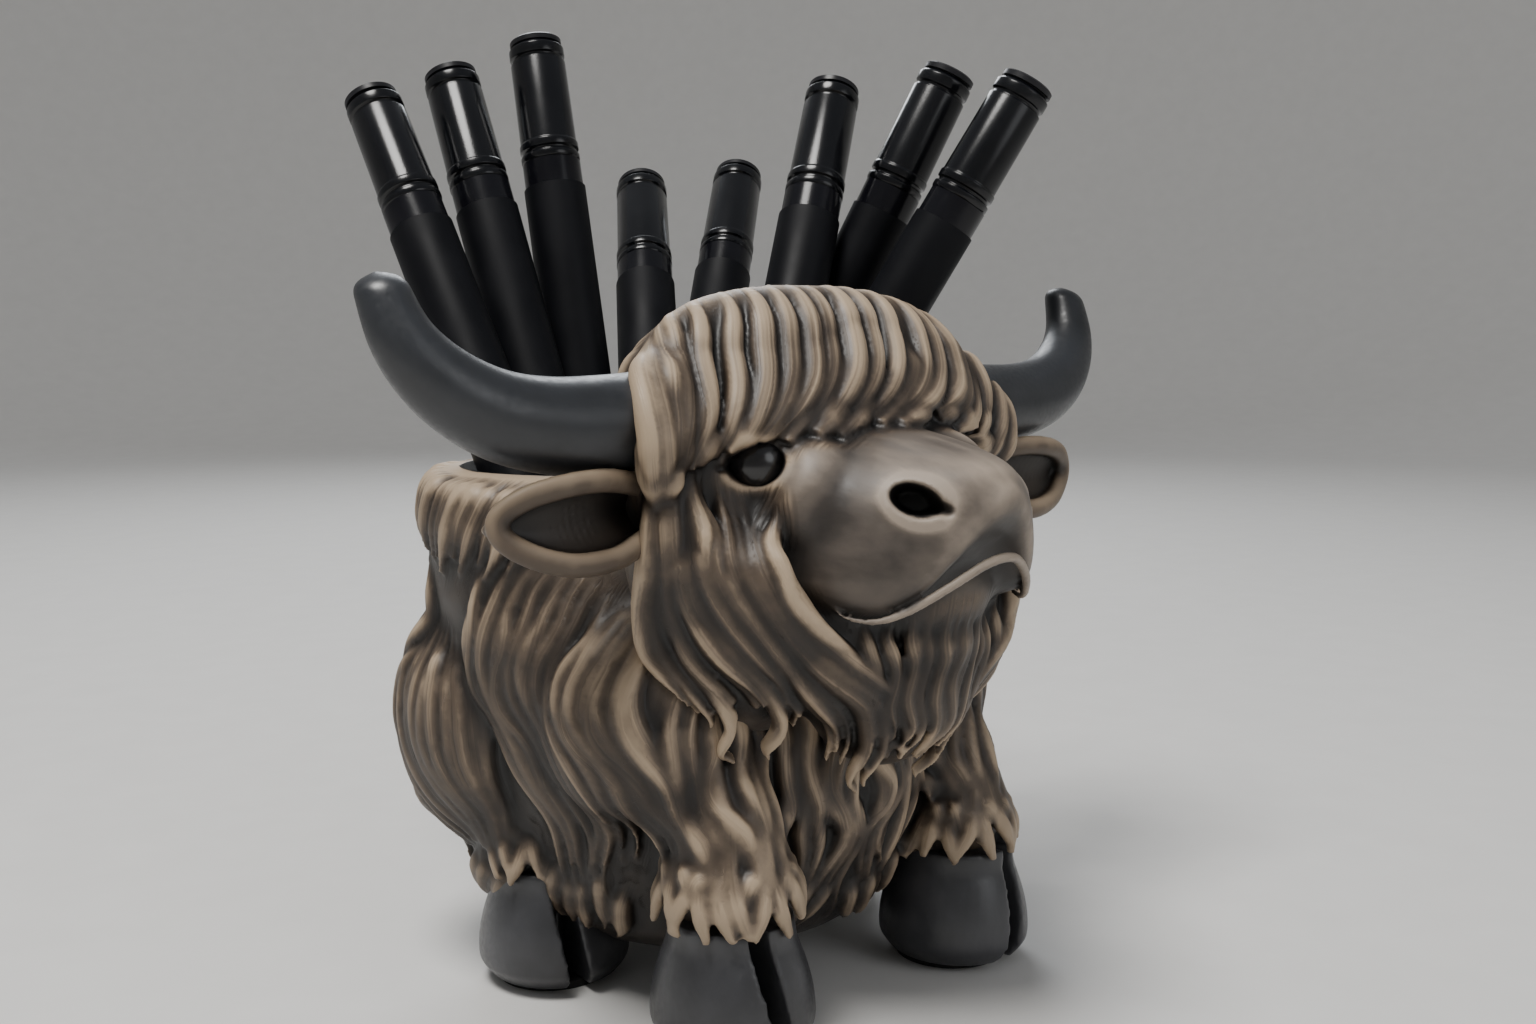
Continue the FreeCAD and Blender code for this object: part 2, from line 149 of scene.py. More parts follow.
def unit_ball():
    """Points and faces of a sphere of radius 1."""
    form = bmesh.new()
    bmesh.ops.create_icosphere(form, subdivisions=4, radius=1)
    points = np.array([vertex.co[:] for vertex in form.verts])
    faces = [[vertex.index for vertex in face.verts] for face in form.faces]
    form.free()
    return points, faces


BALL = unit_ball()


def ring_faces(rings, sides):
    """The faces of a tube of rings, with a cap at each end."""
    faces = [list(range(sides))[::-1], [(rings - 1) * sides + side for side in range(sides)]]
    for ring in range(rings - 1):
        for side in range(sides):
            here, after = ring * sides, (ring + 1) * sides
            following = (side + 1) % sides
            faces.append([here + side, here + following, after + following, after + side])
    return faces


class Clay:
    """Closed forms heaped up in millimetres, then melted into one skin."""

    def __init__(self):
        self.points = []
        self.faces = []
        self.count = 0
        self.trails = []

    def add(self, points, faces):
        self.points.append(np.asarray(points, float))
        self.faces += [[self.count + corner for corner in face] for face in faces]
        self.count += len(points)

    def ball(self, centre, radii):
        """An ellipsoid, from its centre and its half sizes."""
        points, faces = BALL
        self.add(points * np.array(radii, float) + np.array(centre), faces)

    def pair(self, centre, radii):
        """An ellipsoid on each side of the cow; the centre is the left one's."""
        for sign in (LEFT, RIGHT):
            self.ball(mirrored(centre, sign), radii)

    def stack(self, ovals, sides=72):
        """A barrel through level ovals: height, half width, half depth, distance back."""
        angles = np.linspace(0, 2 * np.pi, sides, endpoint=False)
        points = [
            (half_width * math.cos(angle), back + half_depth * math.sin(angle), height)
            for height, half_width, half_depth, back in ovals
            for angle in angles
        ]
        self.add(points, ring_faces(len(ovals), sides))

    def tube(self, path, normals, widths, heights, sides=10):
        """A tube with an oval section: widths across the path and heights along the normals."""
        tangents = np.gradient(path, axis=0)
        points = []
        for centre, tangent, normal, width, height in zip(path, tangents, normals, widths, heights):
            across = unit(np.cross(tangent, normal))
            for side in range(sides):
                angle = 2 * math.pi * side / sides
                points.append(centre + across * width * math.cos(angle)
                              + normal * height * math.sin(angle))
        self.add(points, ring_faces(len(path), sides))

    def add_mesh(self, mesh):
        self.add(points_of(mesh), [list(face.vertices) for face in mesh.polygons])

    def melt(self, name, voxel, smoothing):
        """Melt the heap into one skin, with voxels of the size given, and smooth it."""
        piece = make_object(name, np.vstack(self.points), self.faces)
        remesh = piece.modifiers.new("Melt", "REMESH")
        remesh.mode = "VOXEL"
        remesh.voxel_size = voxel * MM
        if smoothing:
            smooth = piece.modifiers.new("Smooth", "SMOOTH")
            smooth.factor = 0.5
            smooth.iterations = smoothing
        bake_modifiers(piece)
        return piece


# ---------------------------------------------------------------------------- hair


class Skin:
    """A surface that hair is combed over, in millimetres."""

    def __init__(self, piece):
        corners = [Vector(point) for point in points_of(piece.data)]
        self.tree = BVHTree.FromPolygons(corners, [face.vertices[:] for face in piece.data.polygons])

    def drop(self, point):
        """The nearest point of the skin, and the skin's normal there."""
        at, normal, _, _ = self.tree.find_nearest(Vector(point))
        return np.array(at), np.array(normal)


STEP = 1.5


def comb(skin, start, flow, length, sway=0.0, sway_length=24.0, phase=0.0, hook=0.0):
    """Walk over the skin along the flow. The path sways from side to side, in radians, and its
    last quarter turns aside by the hook."""
    point, normal = skin.drop(start)
    path, normals = [point], [normal]
    for number in range(1, int(length / STEP) + 1):
        travelled = number * STEP
        heading = flow(point)
        heading = unit(heading - normal * heading.dot(normal))
        turn = sway * math.sin(2 * math.pi * travelled / sway_length + phase)
        turn += hook * max(0.0, travelled / length - 0.7) / 0.3
        across = np.cross(normal, heading)
        heading = heading * math.cos(turn) + across * math.sin(turn)
        point, fresh = skin.drop(point + heading * STEP)
        normal = unit(normal * 0.6 + fresh * 0.4)
        path.append(point)
        normals.append(normal)
    return np.array(path), np.array(normals)


def curve_through(guide, count=26):
    """A smooth path through a few guide points (a Catmull-Rom curve)."""
    guide = np.array(guide, float)
    padded = np.vstack([2 * guide[0] - guide[1], guide, 2 * guide[-1] - guide[-2]])
    path = []
    for place in np.linspace(0, len(guide) - 1, count):
        leg = min(int(place), len(guide) - 2)
        part = place - leg
        before, start, end, after = padded[leg:leg + 4]
        path.append(0.5 * (2 * start + (end - before) * part
                           + (2 * before - 5 * start + 4 * end - after) * part**2
                           + (3 * start - before - 3 * end + after) * part**3))
    return np.array(path)


def lay_on(skin, path, keep=0.0):
    """Drop a path onto the skin. With keep, its middle stays that part of the way off it, but never
    under it."""
    dropped = [skin.drop(point) for point in path]
    points = np.array([at for at, _ in dropped])
    normals = np.array([normal for _, normal in dropped])
    for _ in range(4):
        points[1:-1] = (points[:-2] + 2 * points[1:-1] + points[2:]) / 4
        normals[1:-1] = (normals[:-2] + 2 * normals[1:-1] + normals[2:]) / 4
    normals /= np.linalg.norm(normals, axis=1)[:, None]
    part = np.linspace(0, 1, len(path))[:, None]
    kept = keep * smoothstep(part, 0.05, 0.3) * (1 - 0.5 * smoothstep(part, 0.8, 1))
    under = np.maximum(np.einsum("ij,ij->i", points - path, normals), 0)[:, None]
    return points * (1 - kept) + (path + normals * under) * kept, normals


def across_of(path, normals):
    """The direction across a path at each of its points, along the skin."""
    across = np.cross(np.gradient(path, axis=0), normals)
    return across / np.linalg.norm(across, axis=1)[:, None]


def lock(clay, path, normals, width, height, sink=0.5, rise=0.3, tip=0.1, swell=0.25, taper=0.5,
         tilt=0.0):
    """One lock of hair: its root is sunk into the skin, it is thickest from swell to taper, and it
    narrows to a tip. Tilt, in radians, lifts one of its edges over its neighbour."""
    part = np.linspace(0, 1, len(path))
    girth = 0.5 + 0.5 * smoothstep(part, 0, swell)
    girth *= 1 - (1 - tip) * smoothstep(part, taper, 1.0) ** 1.5
    lift = -sink * height * (1 - smoothstep(part, 0, 0.35)) + rise * height * smoothstep(part, 0.3, 1)
    centre = path + normals * lift[:, None]
    across = across_of(path, normals)
    clay.trails.append((centre, across))
    leaning = normals * math.cos(tilt) + across * math.sin(tilt)
    clay.tube(centre, leaning, width * girth, height * (0.3 + 0.7 * girth), 12)


def swath(clay, skin, guides, count, width, height, keep=0.0, trim=0.15, sway=0.0, sway_length=22.0,
          length=1.0, start=0.0, **shape):
    """Locks side by side, in a sheet that runs from the first guide curve to the last. Each is cut
    short by up to trim, and all sway from side to side nearly together. Start leaves out that part
    of the way from the root."""
    steps = 40
    curves = np.array([curve_through(guide, steps) for guide in guides])
    for number in range(count):
        place = (number + 0.5 + chance.uniform(-0.15, 0.15)) / count * (len(guides) - 1)
        first = min(int(place), len(guides) - 2)
        path = curves[first] + (curves[first + 1] - curves[first]) * (place - first)
        begin = int(steps * start * chance.uniform(0.7, 1.3))
        end = max(begin + 10, int(steps * length * (1 - chance.uniform(0, trim))))
        path, normals = lay_on(skin, path[begin:end], keep)
        if sway:
            travelled = np.cumsum(np.linalg.norm(np.gradient(path, axis=0), axis=1))
            phase = 0.5 * place + chance.uniform(-0.5, 0.5)
            wave = np.sin(2 * np.pi * travelled / sway_length + phase)
            swing = sway * chance.uniform(0.6, 1.3) * wave * smoothstep(travelled, 0, 12)
            path = path + across_of(path, normals) * swing[:, None]
        size = chance.uniform(0.8, 1.2)
        lock(clay, path, normals, width * size, height * size, **shape)


def on_side(guides, sign):
    """Guides given for the cow's left side, on the side that sign names."""
    return [[mirrored(point, sign) for point in guide] for guide in guides]


# ---------------------------------------------------------------------------- relief for the paint, with its painted light and shade


def smoothed(values, edges, rounds):
    """Values at a mesh's points, averaged with their neighbours again and again."""
    count = len(values)
    ends = np.concatenate([edges[:, 0], edges[:, 1]])
    others = np.concatenate([edges[:, 1], edges[:, 0]])
    share = np.maximum(np.bincount(ends, minlength=count), 1)
    for _ in range(rounds):
        for axis in range(values.shape[1]):
            total = np.bincount(ends, weights=values[others, axis], minlength=count)
            values[:, axis] = 0.5 * values[:, axis] + 0.5 * total / share
    return values


def edges_of(mesh):
    flat = np.empty(len(mesh.edges) * 2, np.int32)
    mesh.edges.foreach_get("vertices", flat)
    return flat.reshape(-1, 2)


def add_layer(mesh, name, values):
    layer = mesh.attributes.new(name, "FLOAT", "POINT")
    layer.data.foreach_set("value", np.asarray(values, np.float32))


def add_relief(piece, fine_rounds=60, broad_rounds=260):
    """Store how far each point stands above the skin around it, in millimetres, and how far it faces up.
    The paint's dark wash settles where it is low and the pale dry-brushed paint catches where it is high.
    Both are pushed further, into painted shade where it is low and painted light where it is high, and how
    far it faces up gives painted light from above."""
    mesh = piece.data
    points, normals, edges = points_of(mesh), normals_of(mesh), edges_of(mesh)
    fine = smoothed(points.copy(), edges, fine_rounds)
    broad = smoothed(fine.copy(), edges, broad_rounds - fine_rounds)
    # Fine relief is the wash and dry-brushing, deepened into painted shade and light. Broad relief, named
    # hollow, is painted shade in broad hollows and painted light on broad swells.
    for name, level in (("relief", fine), ("hollow", broad)):
        height = np.einsum("ij,ij->i", points - level, normals)
        height = smoothed(height[:, None], edges, 1)[:, 0]
        add_layer(mesh, name, height)
    # Painted light from above: the coat is paler where it faces up and darker where it faces down.
    add_layer(mesh, "upward", smoothed(normals.copy(), edges, 4)[:, 2])


LOCK_SPACING = 4.0


def add_strands(piece, trails):
    """Store three layers. Strand is a number, in millimetres, that changes across each lock of hair
    but not along it: the paint draws its fine streaks by it. Seam is 1 where that number jumps from
    lock to lock. Bare is 0 on the hair and 1 away from all of it."""
    centres = np.vstack([centre for centre, _ in trails])
    across = np.vstack([across for _, across in trails])
    owners = np.concatenate([np.full(len(centre), number) for number, (centre, _) in enumerate(trails)])
    tree = KDTree(len(centres))
    for number, centre in enumerate(centres):
        tree.insert(centre, number)
    tree.balance()
    points = points_of(piece.data)
    found = [tree.find(point) for point in points]
    nearest = np.array([index for _, index, _ in found])
    distance = np.array([distance for _, _, distance in found])
    offset = np.einsum("ij,ij->i", points - centres[nearest], across[nearest])
    strand = owners[nearest] * LOCK_SPACING + offset
    edges = edges_of(piece.data)
    seam = np.zeros((len(points), 1))
    seam[edges[np.abs(np.diff(strand[edges], axis=1)[:, 0]) > 1.0].ravel()] = 1.0
    seam = smoothed(seam, edges, 2)[:, 0]
    add_layer(piece.data, "strand", strand)
    add_layer(piece.data, "seam", np.clip(seam * 1.8, 0, 1))
    add_layer(piece.data, "bare", smoothstep(distance, 3.2, 5.5))


MOST_TRIANGLES = 190000


def thin_out(piece):
    """Collapse the least needed edges, until few enough triangles are left."""
    piece.data.calc_loop_triangles()
    count = len(piece.data.loop_triangles)
    if count > MOST_TRIANGLES:
        thin = piece.modifiers.new("Thin", "DECIMATE")
        thin.ratio = MOST_TRIANGLES / count
        bake_modifiers(piece)


# ---------------------------------------------------------------------------- the body

TORSO_OVALS = (
    # height, half width, half depth, back
    (9.0, 31.0, 28.0, -2.0),
    (14.0, 38.0, 35.0, -1.0),
    (25.0, 43.0, 42.0, 0.0),
    (40.0, 47.5, 46.5, 1.0),
    (58.0, 51.5, 48.5, 3.0),
    (76.0, 54.0, 47.0, 7.5),
    (90.0, 54.3, 43.0, 12.0),
    (99.0, 53.0, 39.5, 14.0),
    (102.0, 50.5, 37.0, 14.0),
)
CUP_HALF_WIDTH, CUP_HALF_DEPTH, CUP_BACK, CUP_FLOOR = 46.0, 33.0, 14.0, 58.8
ABOVE_THE_RIM = 30


def body_form():
    """The body without its hair."""
    clay = Clay()
    clay.stack(TORSO_OVALS)
    clay.pair((39, 20, 52), (17, 22, 27))
    clay.pair((36, 12, 34), (13, 17, 22))
    clay.pair((31, -22, 59), (20, 20, 23))
    clay.ball((0, -31, 44), (26, 14, 32))
    for hoof in HOOVES:
        foot = middle(f"{hoof}_pad")
        clay.ball((foot[0], foot[1] + 2, 32), (10, 10, 20))
    return clay.melt("body_form", 1.4, 10)


def body_flow(point):
    """Which way the lower coat lies: down, and outward above the feet."""
    side = np.sign(point[0])
    flank = smoothstep(abs(point[0]), 15, 40)
    outward = np.array((side * 0.5, 0, 0)) * (1 - smoothstep(point[2], 12, 45))
    return np.array((0, 0.35 * flank * smoothstep(point[1], -30, 10), -1.0)) + outward


def coat_row(clay, skin, height, length, width, thick, spacing, sway, low=0, high=360, **shape):
    """A row of locks round the body between two bearings, in degrees from the cow's left."""
    count = int(math.radians(high - low) * 50 / spacing)
    for number in range(count):
        part = (number + 0.5 + chance.uniform(-0.2, 0.2)) / count
        angle = math.radians(low + (high - low) * part)
        start = (56 * math.cos(angle), 6 + 52 * math.sin(angle), height + chance.uniform(-2.5, 2.5))
        phase = 1.6 * math.sin(2 * angle) + 0.16 * height + chance.uniform(-0.35, 0.35)
        hook = 0.5 * math.sin(5 * angle + height) + chance.uniform(-0.25, 0.25)
        reach = length * chance.uniform(0.8, 1.1)
        path, normals = comb(skin, start, body_flow, reach, sway, 25, phase, hook)
        size = chance.uniform(0.85, 1.2)
        lock(clay, path, normals, width * size, thick * size, **shape)


# Hair is laid along guide curves, each from the root of the hair to its tips. These are given for
# the cow's left side.

# The long hair of the flank, from the haunch forward to the shoulder. It sweeps back, then down,
# then forward again.
FLANK = (
    ((49, 3, 88), (53.5, 8, 78), (54.5, 9, 70), (54, 6, 60), (52, 0, 51), (49, -4, 43), (46, -7, 35),
     (44, -7, 24), (42, -6, 15)),
    ((48, -9, 87), (52, -4, 78), (53, -3, 69), (52, -3, 59), (50, -8, 50), (47, -12, 43),
     (45, -13, 35), (43, -13, 24), (41, -13, 15)),
    ((45, -16, 85), (49.5, -13, 76), (51, -11, 68), (51.5, -13, 59), (51, -18, 51), (48, -22, 45),
     (46, -21, 38), (44, -18, 26), (42, -18, 16)),
    ((42, -23, 81), (48, -21, 73), (51, -20, 66), (52, -23, 58), (50.5, -28, 51), (47.5, -29, 45),
     (45, -30, 38), (43, -28, 28), (41, -28, 22)),
    ((40, -29, 79), (46, -28, 71), (49, -29, 63), (48, -31, 56), (46, -35, 49), (43, -38, 42),
     (41, -38, 35), (41, -37, 28), (41, -38, 22)),
    ((38, -33, 79), (43, -33, 71), (46, -35, 63), (45, -37, 56), (43, -40, 49), (41, -42, 42),
     (40, -43, 35), (40, -42, 28), (40, -42, 22)),
)
# The hair of the haunch, from its front edge round to the back. It gathers towards the ankle.
HAUNCH_FAN = (
    ((52, 9, 70), (53.5, 5, 62), (53.5, 3, 54), (52, 3, 45), (50, 4, 37), (47, 4, 28)),
    ((54, 14, 71), (56.5, 11, 62), (56.5, 9, 53), (54, 8, 44), (51, 7, 36), (48, 6, 27)),
    ((55, 20, 71), (58, 20, 62), (58, 19, 53), (55, 16, 43), (52, 12, 35), (49, 9, 27)),
    ((52, 29, 71), (55.5, 31, 62), (55.5, 29, 52), (53, 24, 42), (50, 17, 34), (46, 13, 27)),
    ((45, 37, 71), (48, 40, 62), (48, 38, 52), (46, 31, 42), (43, 23, 34), (40, 17, 27)),
    ((34, 43, 71), (37, 46, 62), (38, 43, 52), (37, 36, 42), (35, 27, 34), (34, 19, 27)),
)
# The short hair of the upper tier, from the shoulder round to the middle of the back.
COLLAR = (
    ((47, -12, 103), (51, -11, 97), (53, -8, 90), (52, -4, 83)),
    ((52, 3, 103), (55, 4, 97), (56, 7, 90), (55, 12, 82)),
    ((52, 16, 103), (55, 18, 97), (57, 21, 90), (56, 25, 82)),
    ((45, 31, 103), (47, 34, 97), (49, 37, 90), (47, 40, 82)),
    ((30, 44, 103), (32, 48, 97), (33, 51, 90), (31, 53, 82)),
    ((12, 50, 103), (13, 54, 97), (13, 57, 90), (11, 58, 82)),
    ((0, 51, 103), (0, 55, 97), (0, 58, 90), (0, 59, 81)),
)
# The hair of the chest, from beside the front leg to the middle.
CHEST = (
    ((41, -38, 66), (44, -38, 56), (41, -38, 46), (40, -43, 38), (40, -44, 30), (41, -45, 24)),
    ((33, -41, 66), (36, -41, 55), (35, -45, 45), (33, -48, 38), (34, -48, 30), (36, -50, 22)),
    ((25, -43, 66), (26, -45, 54), (25, -47, 44), (28, -48, 36), (28, -48, 28), (27, -50, 21)),
    ((17, -45, 66), (18, -43.5, 54), (14.5, -44.5, 44), (18, -45, 35), (14, -43, 25), (15, -40, 14)),
    ((10, -47, 66), (8.5, -46, 53), (10.5, -46, 43), (5, -46.5, 34), (8, -43, 23), (4, -38, 12)),
    ((3, -49, 66), (0, -48, 52), (4, -46.5, 42), (-1, -45.5, 32), (3, -42, 22), (-1, -38, 11)),
)


def comb_body(clay, skin):
    """All the hair of the body, from the lowest locks to the ones that lie over them."""
    coat_row(clay, skin, 24, 17, 2.1, 2.2, 4.4, 0.3)
    coat_row(clay, skin, 50, 34, 2.5, 2.5, 4.8, 0.4, 20, 160)
    coat_row(clay, skin, 66, 36, 2.5, 2.5, 4.8, 0.38, 20, 160)
    coat_row(clay, skin, 84, 38, 2.6, 2.6, 4.8, 0.3, 20, 160, rise=0.5)
    for sign in (LEFT, RIGHT):
        chest = on_side(CHEST, sign)
        swath(clay, skin, chest, 12, 2.2, 2.6, sway=0.8, trim=0.1, rise=0.0)
        swath(clay, skin, chest, 8, 2.1, 2.4, sway=1.2, sway_length=19, length=0.85, trim=0.5, rise=0.6)
        flank = on_side(FLANK, sign)
        swath(clay, skin, flank, 13, 2.6, 2.6, sway=0.9, rise=0.0, tilt=0.25 * sign)
        swath(clay, skin, flank, 7, 2.2, 2.4, sway=1.1, length=0.8, trim=0.45, rise=0.6, start=0.06)
        haunch = on_side(HAUNCH_FAN, sign)
        swath(clay, skin, haunch, 14, 2.6, 2.5, sway=0.6, trim=0.05, rise=0.0, tip=0.3, tilt=0.25 * sign)
        swath(clay, skin, haunch, 7, 2.2, 2.3, sway=0.5, length=0.75, trim=0.4, rise=0.5, sink=0.9)
        collar = on_side(COLLAR, sign)
        swath(clay, skin, collar, 24, 2.6, 2.6, sway=0.4, trim=0.2, rise=0.1, tip=0.15, tilt=0.25 * sign)


def tuft_lock(clay, foot, top, angle, reach, end):
    """A bowed lock, from the shin above a foot out over the hoof's top and down to its end."""
    away = np.array((math.cos(angle), math.sin(angle), 0))
    guide = [
        foot + away * 4.5 + UP * (top + 27),
        foot + away * 7.8 + UP * (top + 18),
        foot + away * 10.4 + UP * (top + 11),
        foot + away * (reach - 1.4) + UP * (end + 5),
        foot + away * (reach - 0.7) + UP * end,
    ]
    count = 18
    part = np.linspace(0, 1, count)
    bow = chance.choice((-1, 1)) * chance.uniform(0.6, 1.6)
    bowed = bow * (2 * part**2 - 1.5 * np.sin(np.pi * part))
    path = curve_through(guide, count) + np.cross(UP, away) * bowed[:, None]
    normals = np.tile(unit(away + UP * 0.35), (count, 1))
    lock(clay, path, normals, 1.8, 1.3, sink=0.3, rise=0.0, tip=0.45, taper=0.7, tilt=0.2)


# Each layer of a hoof's tuft: how many locks, how far out they reach, how high they end.
TUFT_LAYERS = ((21, 14.4, 0.0), (17, 13.0, 4.5))


def hoof_tufts(clay):
    """Two layers of locks round each foot, over the top of the hoof."""
    for hoof in HOOVES:
        foot = middle(f"{hoof}_pad") * (1, 1, 0)
        top = span(f"{hoof}_hoof")[1][2] - 6
        clay.ball(foot + UP * (top + 8), (10.5, 10.5, 12))
        for layer, (count, reach, lowest) in enumerate(TUFT_LAYERS):
            for number in range(count):
                angle = 2 * math.pi * (number + 0.5 * layer + chance.uniform(-0.25, 0.25)) / count
                end = top + lowest + chance.uniform(-1.5, 1.2)
                tuft_lock(clay, foot, top, angle, reach, end)


def hollow_out_cup(piece):
    """Cut the oval cup into the body, from above the rim down to the cup's floor."""
    clay = Clay()
    clay.stack([(height, CUP_HALF_WIDTH, CUP_HALF_DEPTH, CUP_BACK)
                for height in (CUP_FLOOR, RIM_HEIGHT + ABOVE_THE_RIM)], 96)
    cutter = make_object("cup_cutter", np.vstack(clay.points), clay.faces)
    cut = piece.modifiers.new("Cup", "BOOLEAN")
    cut.operation = "DIFFERENCE"
    cut.solver = "MANIFOLD"
    cut.object = cutter
    bake_modifiers(piece)
    bpy.data.objects.remove(cutter)


def make_body():
    """The body, with its hair combed over it and the cup cut into it."""
    form = body_form()
    skin = Skin(form)
    clay = Clay()
    clay.add_mesh(form.data)
    comb_body(clay, skin)
    hoof_tufts(clay)
    piece = clay.melt("cow_body", 0.65, 1)
    hollow_out_cup(piece)
    bpy.data.objects.remove(form)
    add_relief(piece, 70, 300)
    # Painted shade: the coat is darkened towards the feet, below 36 mm.
    height = points_of(piece.data)[:, 2]
    add_layer(piece.data, "shade", 0.3 * (1 - smoothstep(height, 16, 36)))
    add_strands(piece, clay.trails)
    thin_out(piece)
    shade_smooth(piece)
    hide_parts("body_casting")
    return piece


# ---------------------------------------------------------------------------- the head


MUZZLE = (
    # how far back, half width, top, bottom
    (-42.0, 30.0, 113.0, 79.0),
    (-50.0, 28.0, 112.3, 79.0),
    (-58.0, 27.3, 111.0, 79.0),
    (-65.0, 24.8, 109.6, 79.4),
    (-71.0, 19.4, 108.4, 80.6),
    (-76.0, 13.2, 106.8, 83.6),
    (-79.4, 7.2, 103.8, 87.5),
    (-80.9, 3.0, 99.0, 92.5),
)
LIP_RISE = 10.0


RING_SIDES = 64


def squared_ring(half_width, bottom, top, back):
    """An upright ring across the cow: rounded and narrower at the top, squarer at the bottom."""
    angles = np.linspace(0, 2 * np.pi, RING_SIDES, endpoint=False)
    cosine, sine = np.cos(angles), np.sin(angles)
    power = np.where(sine > 0, 2.5, 4.2)
    x = half_width * np.sign(cosine) * np.abs(cosine) ** (2 / power)
    height = np.sign(sine) * np.abs(sine) ** (2 / power)
    z = (top + bottom) / 2 + (top - bottom) / 2 * height
    return np.column_stack([x * (1 - 0.14 * (height + 1)), np.full(RING_SIDES, back), z])


def muzzle_form(clay):
    """The broad muzzle. Its underside rises in the middle, so that the lips hang at the sides."""
    rings = []
    for back, half_width, top, bottom in curve_through(MUZZLE, 40):
        ring = squared_ring(half_width, bottom, top, back)
        under = np.clip((top - ring[:, 2]) / (top - bottom), 0, 1) ** 2
        rise = LIP_RISE * smoothstep(-back, 56, 75) * (1 - smoothstep(np.abs(ring[:, 0]), 3, 19))
        ring[:, 2] += rise * under
        rings.append(ring)
    clay.add(np.vstack(rings), ring_faces(len(rings), RING_SIDES))


SKULL_BACK = -29.0
SKULL = (
    # height, half width, depth in front, depth behind
    (64.0, 33.0, 14.0, 9.0),
    (76.0, 40.0, 18.0, 10.0),
    (90.0, 44.3, 20.5, 11.0),
    (104.0, 45.4, 21.0, 11.0),
    (113.0, 45.0, 19.8, 11.0),
    (121.0, 42.6, 15.5, 10.5),
    (128.0, 38.4, 11.3, 9.5),
    (132.8, 33.0, 8.6, 8.0),
    (136.0, 24.5, 6.0, 6.0),
    (138.0, 10.0, 3.0, 3.0),
)


def skull_form(clay):
    """The block that the mop of hair and the face grow from."""
    points = []
    sides = 72
    angles = np.linspace(0, 2 * np.pi, sides, endpoint=False)
    rings = curve_through(SKULL, 44)
    for height, half_width, front, behind in rings:
        cosine, sine = np.cos(angles), np.sin(angles)
        x = half_width * np.sign(cosine) * np.abs(cosine) ** 0.92
        y = SKULL_BACK + np.where(sine < 0, front, behind) * sine
        points.append(np.column_stack([x, y, np.full(sides, height)]))
    clay.add(np.vstack(points), ring_faces(len(rings), sides))


def head_form():
    """The head without its hair: a block for the mop, cheeks, a broad muzzle and a small chin."""
    clay = Clay()
    skull_form(clay)
    muzzle_form(clay)
    clay.ball((0, -41, 106), (27, 10, 12))
    clay.ball((0, -58, 84), (16, 13.5, 12))
    clay.ball((0, -50, 68), (18, 14, 20))
    clay.pair((22, -39, 80), (18, 14, 24))
    clay.pair((14, -52, 74), (13, 11, 14))
    clay.pair((41, -36, 107), (6.5, 6.5, 17))
    clay.pair((17, -49, 98), (11, 11, 13))
    form = clay.melt("head_form", 1.0, 26)
    points = points_of(form.data)
    for sign in (LEFT, RIGHT):
        temple = mirrored((28.5, -47, 106), sign)
        points = dent(points, EyeFrame(sign).axes, temple, (9, 9, 9), 1.8, 0.0)
    set_points(form.data, points)
    return form


def dent(points, axes, centre, radii, depth, flat):
    """Push points in along the first axis, near a centre. The floor of the dent is flat as far as
    the share of its radii named by flat."""
    local = (points - centre) @ axes.T / np.array(radii)
    amount = depth * (1 - smoothstep(np.linalg.norm(local, axis=1), flat, 1.0))
    return points - axes[0] * amount[:, None]


class EyeFrame:
    """Where an eye looks: axes out of the face, towards the nose, and up."""

    def __init__(self, sign):
        self.centre = mirrored(EYE, sign)
        out = unit(mirrored((0.72, -0.69, 0.07), sign))
        nose = unit(np.cross(out, UP)) * -sign
        self.axes = np.array([out, nose, unit(UP - out * out.dot(UP))])


NOSTRIL = np.array((13.9, -70.8, 100.8))


def nostril_axes(sign):
    """Axes out of a nostril, along it towards the middle of the nose, and across it."""
    along = unit(mirrored((-0.66, -0.69, -0.30), sign))
    out = mirrored((0.70, -0.70, 0.14), sign)
    out = unit(out - along * out.dot(along))
    return np.array([out, along, np.cross(out, along)])


def shape_face(points):
    """Press in the eye openings and the nostrils, each inside a soft raised rim."""
    for sign in (LEFT, RIGHT):
        eye = EyeFrame(sign)
        opening = eye.centre + eye.axes[0] * 4.2
        points = dent(points, eye.axes, opening, (8, 7.6, 6.4), -0.8, 0.5)
        points = dent(points, eye.axes, opening, (8, 5.7, 4.1), 4.2, 0.75)
        corner = opening + eye.axes[1] * 5.2 - eye.axes[2] * 0.8
        points = dent(points, eye.axes, corner, (6, 2.6, 1.3), 1.8, 0.2)
        axes = nostril_axes(sign)
        centre = mirrored(NOSTRIL, sign)
        points = dent(points, axes, centre, (8, 8.4, 6.4), -0.5, 0.4)
        points = dent(points, axes, centre, (9, 5.2, 3.3), 8.0, 0.5)
        points = dent(points, axes, centre + axes[1] * 4.2, (9, 3.0, 1.8), 3.0, 0.2)
    return points


def face_shade(points):
    """How much painted shade lies in the nostrils and round the eyes, from 0 to 1."""
    shade = np.zeros(len(points))
    for sign in (LEFT, RIGHT):
        axes = nostril_axes(sign)
        local = (points - mirrored(NOSTRIL, sign) + axes[0] * 3) @ axes.T / np.array((6.5, 5.6, 3.4))
        shade = np.maximum(shade, 1 - smoothstep(np.linalg.norm(local, axis=1), 0.75, 1.05))
        eye = EyeFrame(sign)
        local = (points - eye.centre - eye.axes[0] * 2) @ eye.axes.T / np.array((4.5, 7.5, 4.4))
        shade = np.maximum(shade, 1 - smoothstep(np.linalg.norm(local, axis=1), 0.8, 1.05))
    return shade


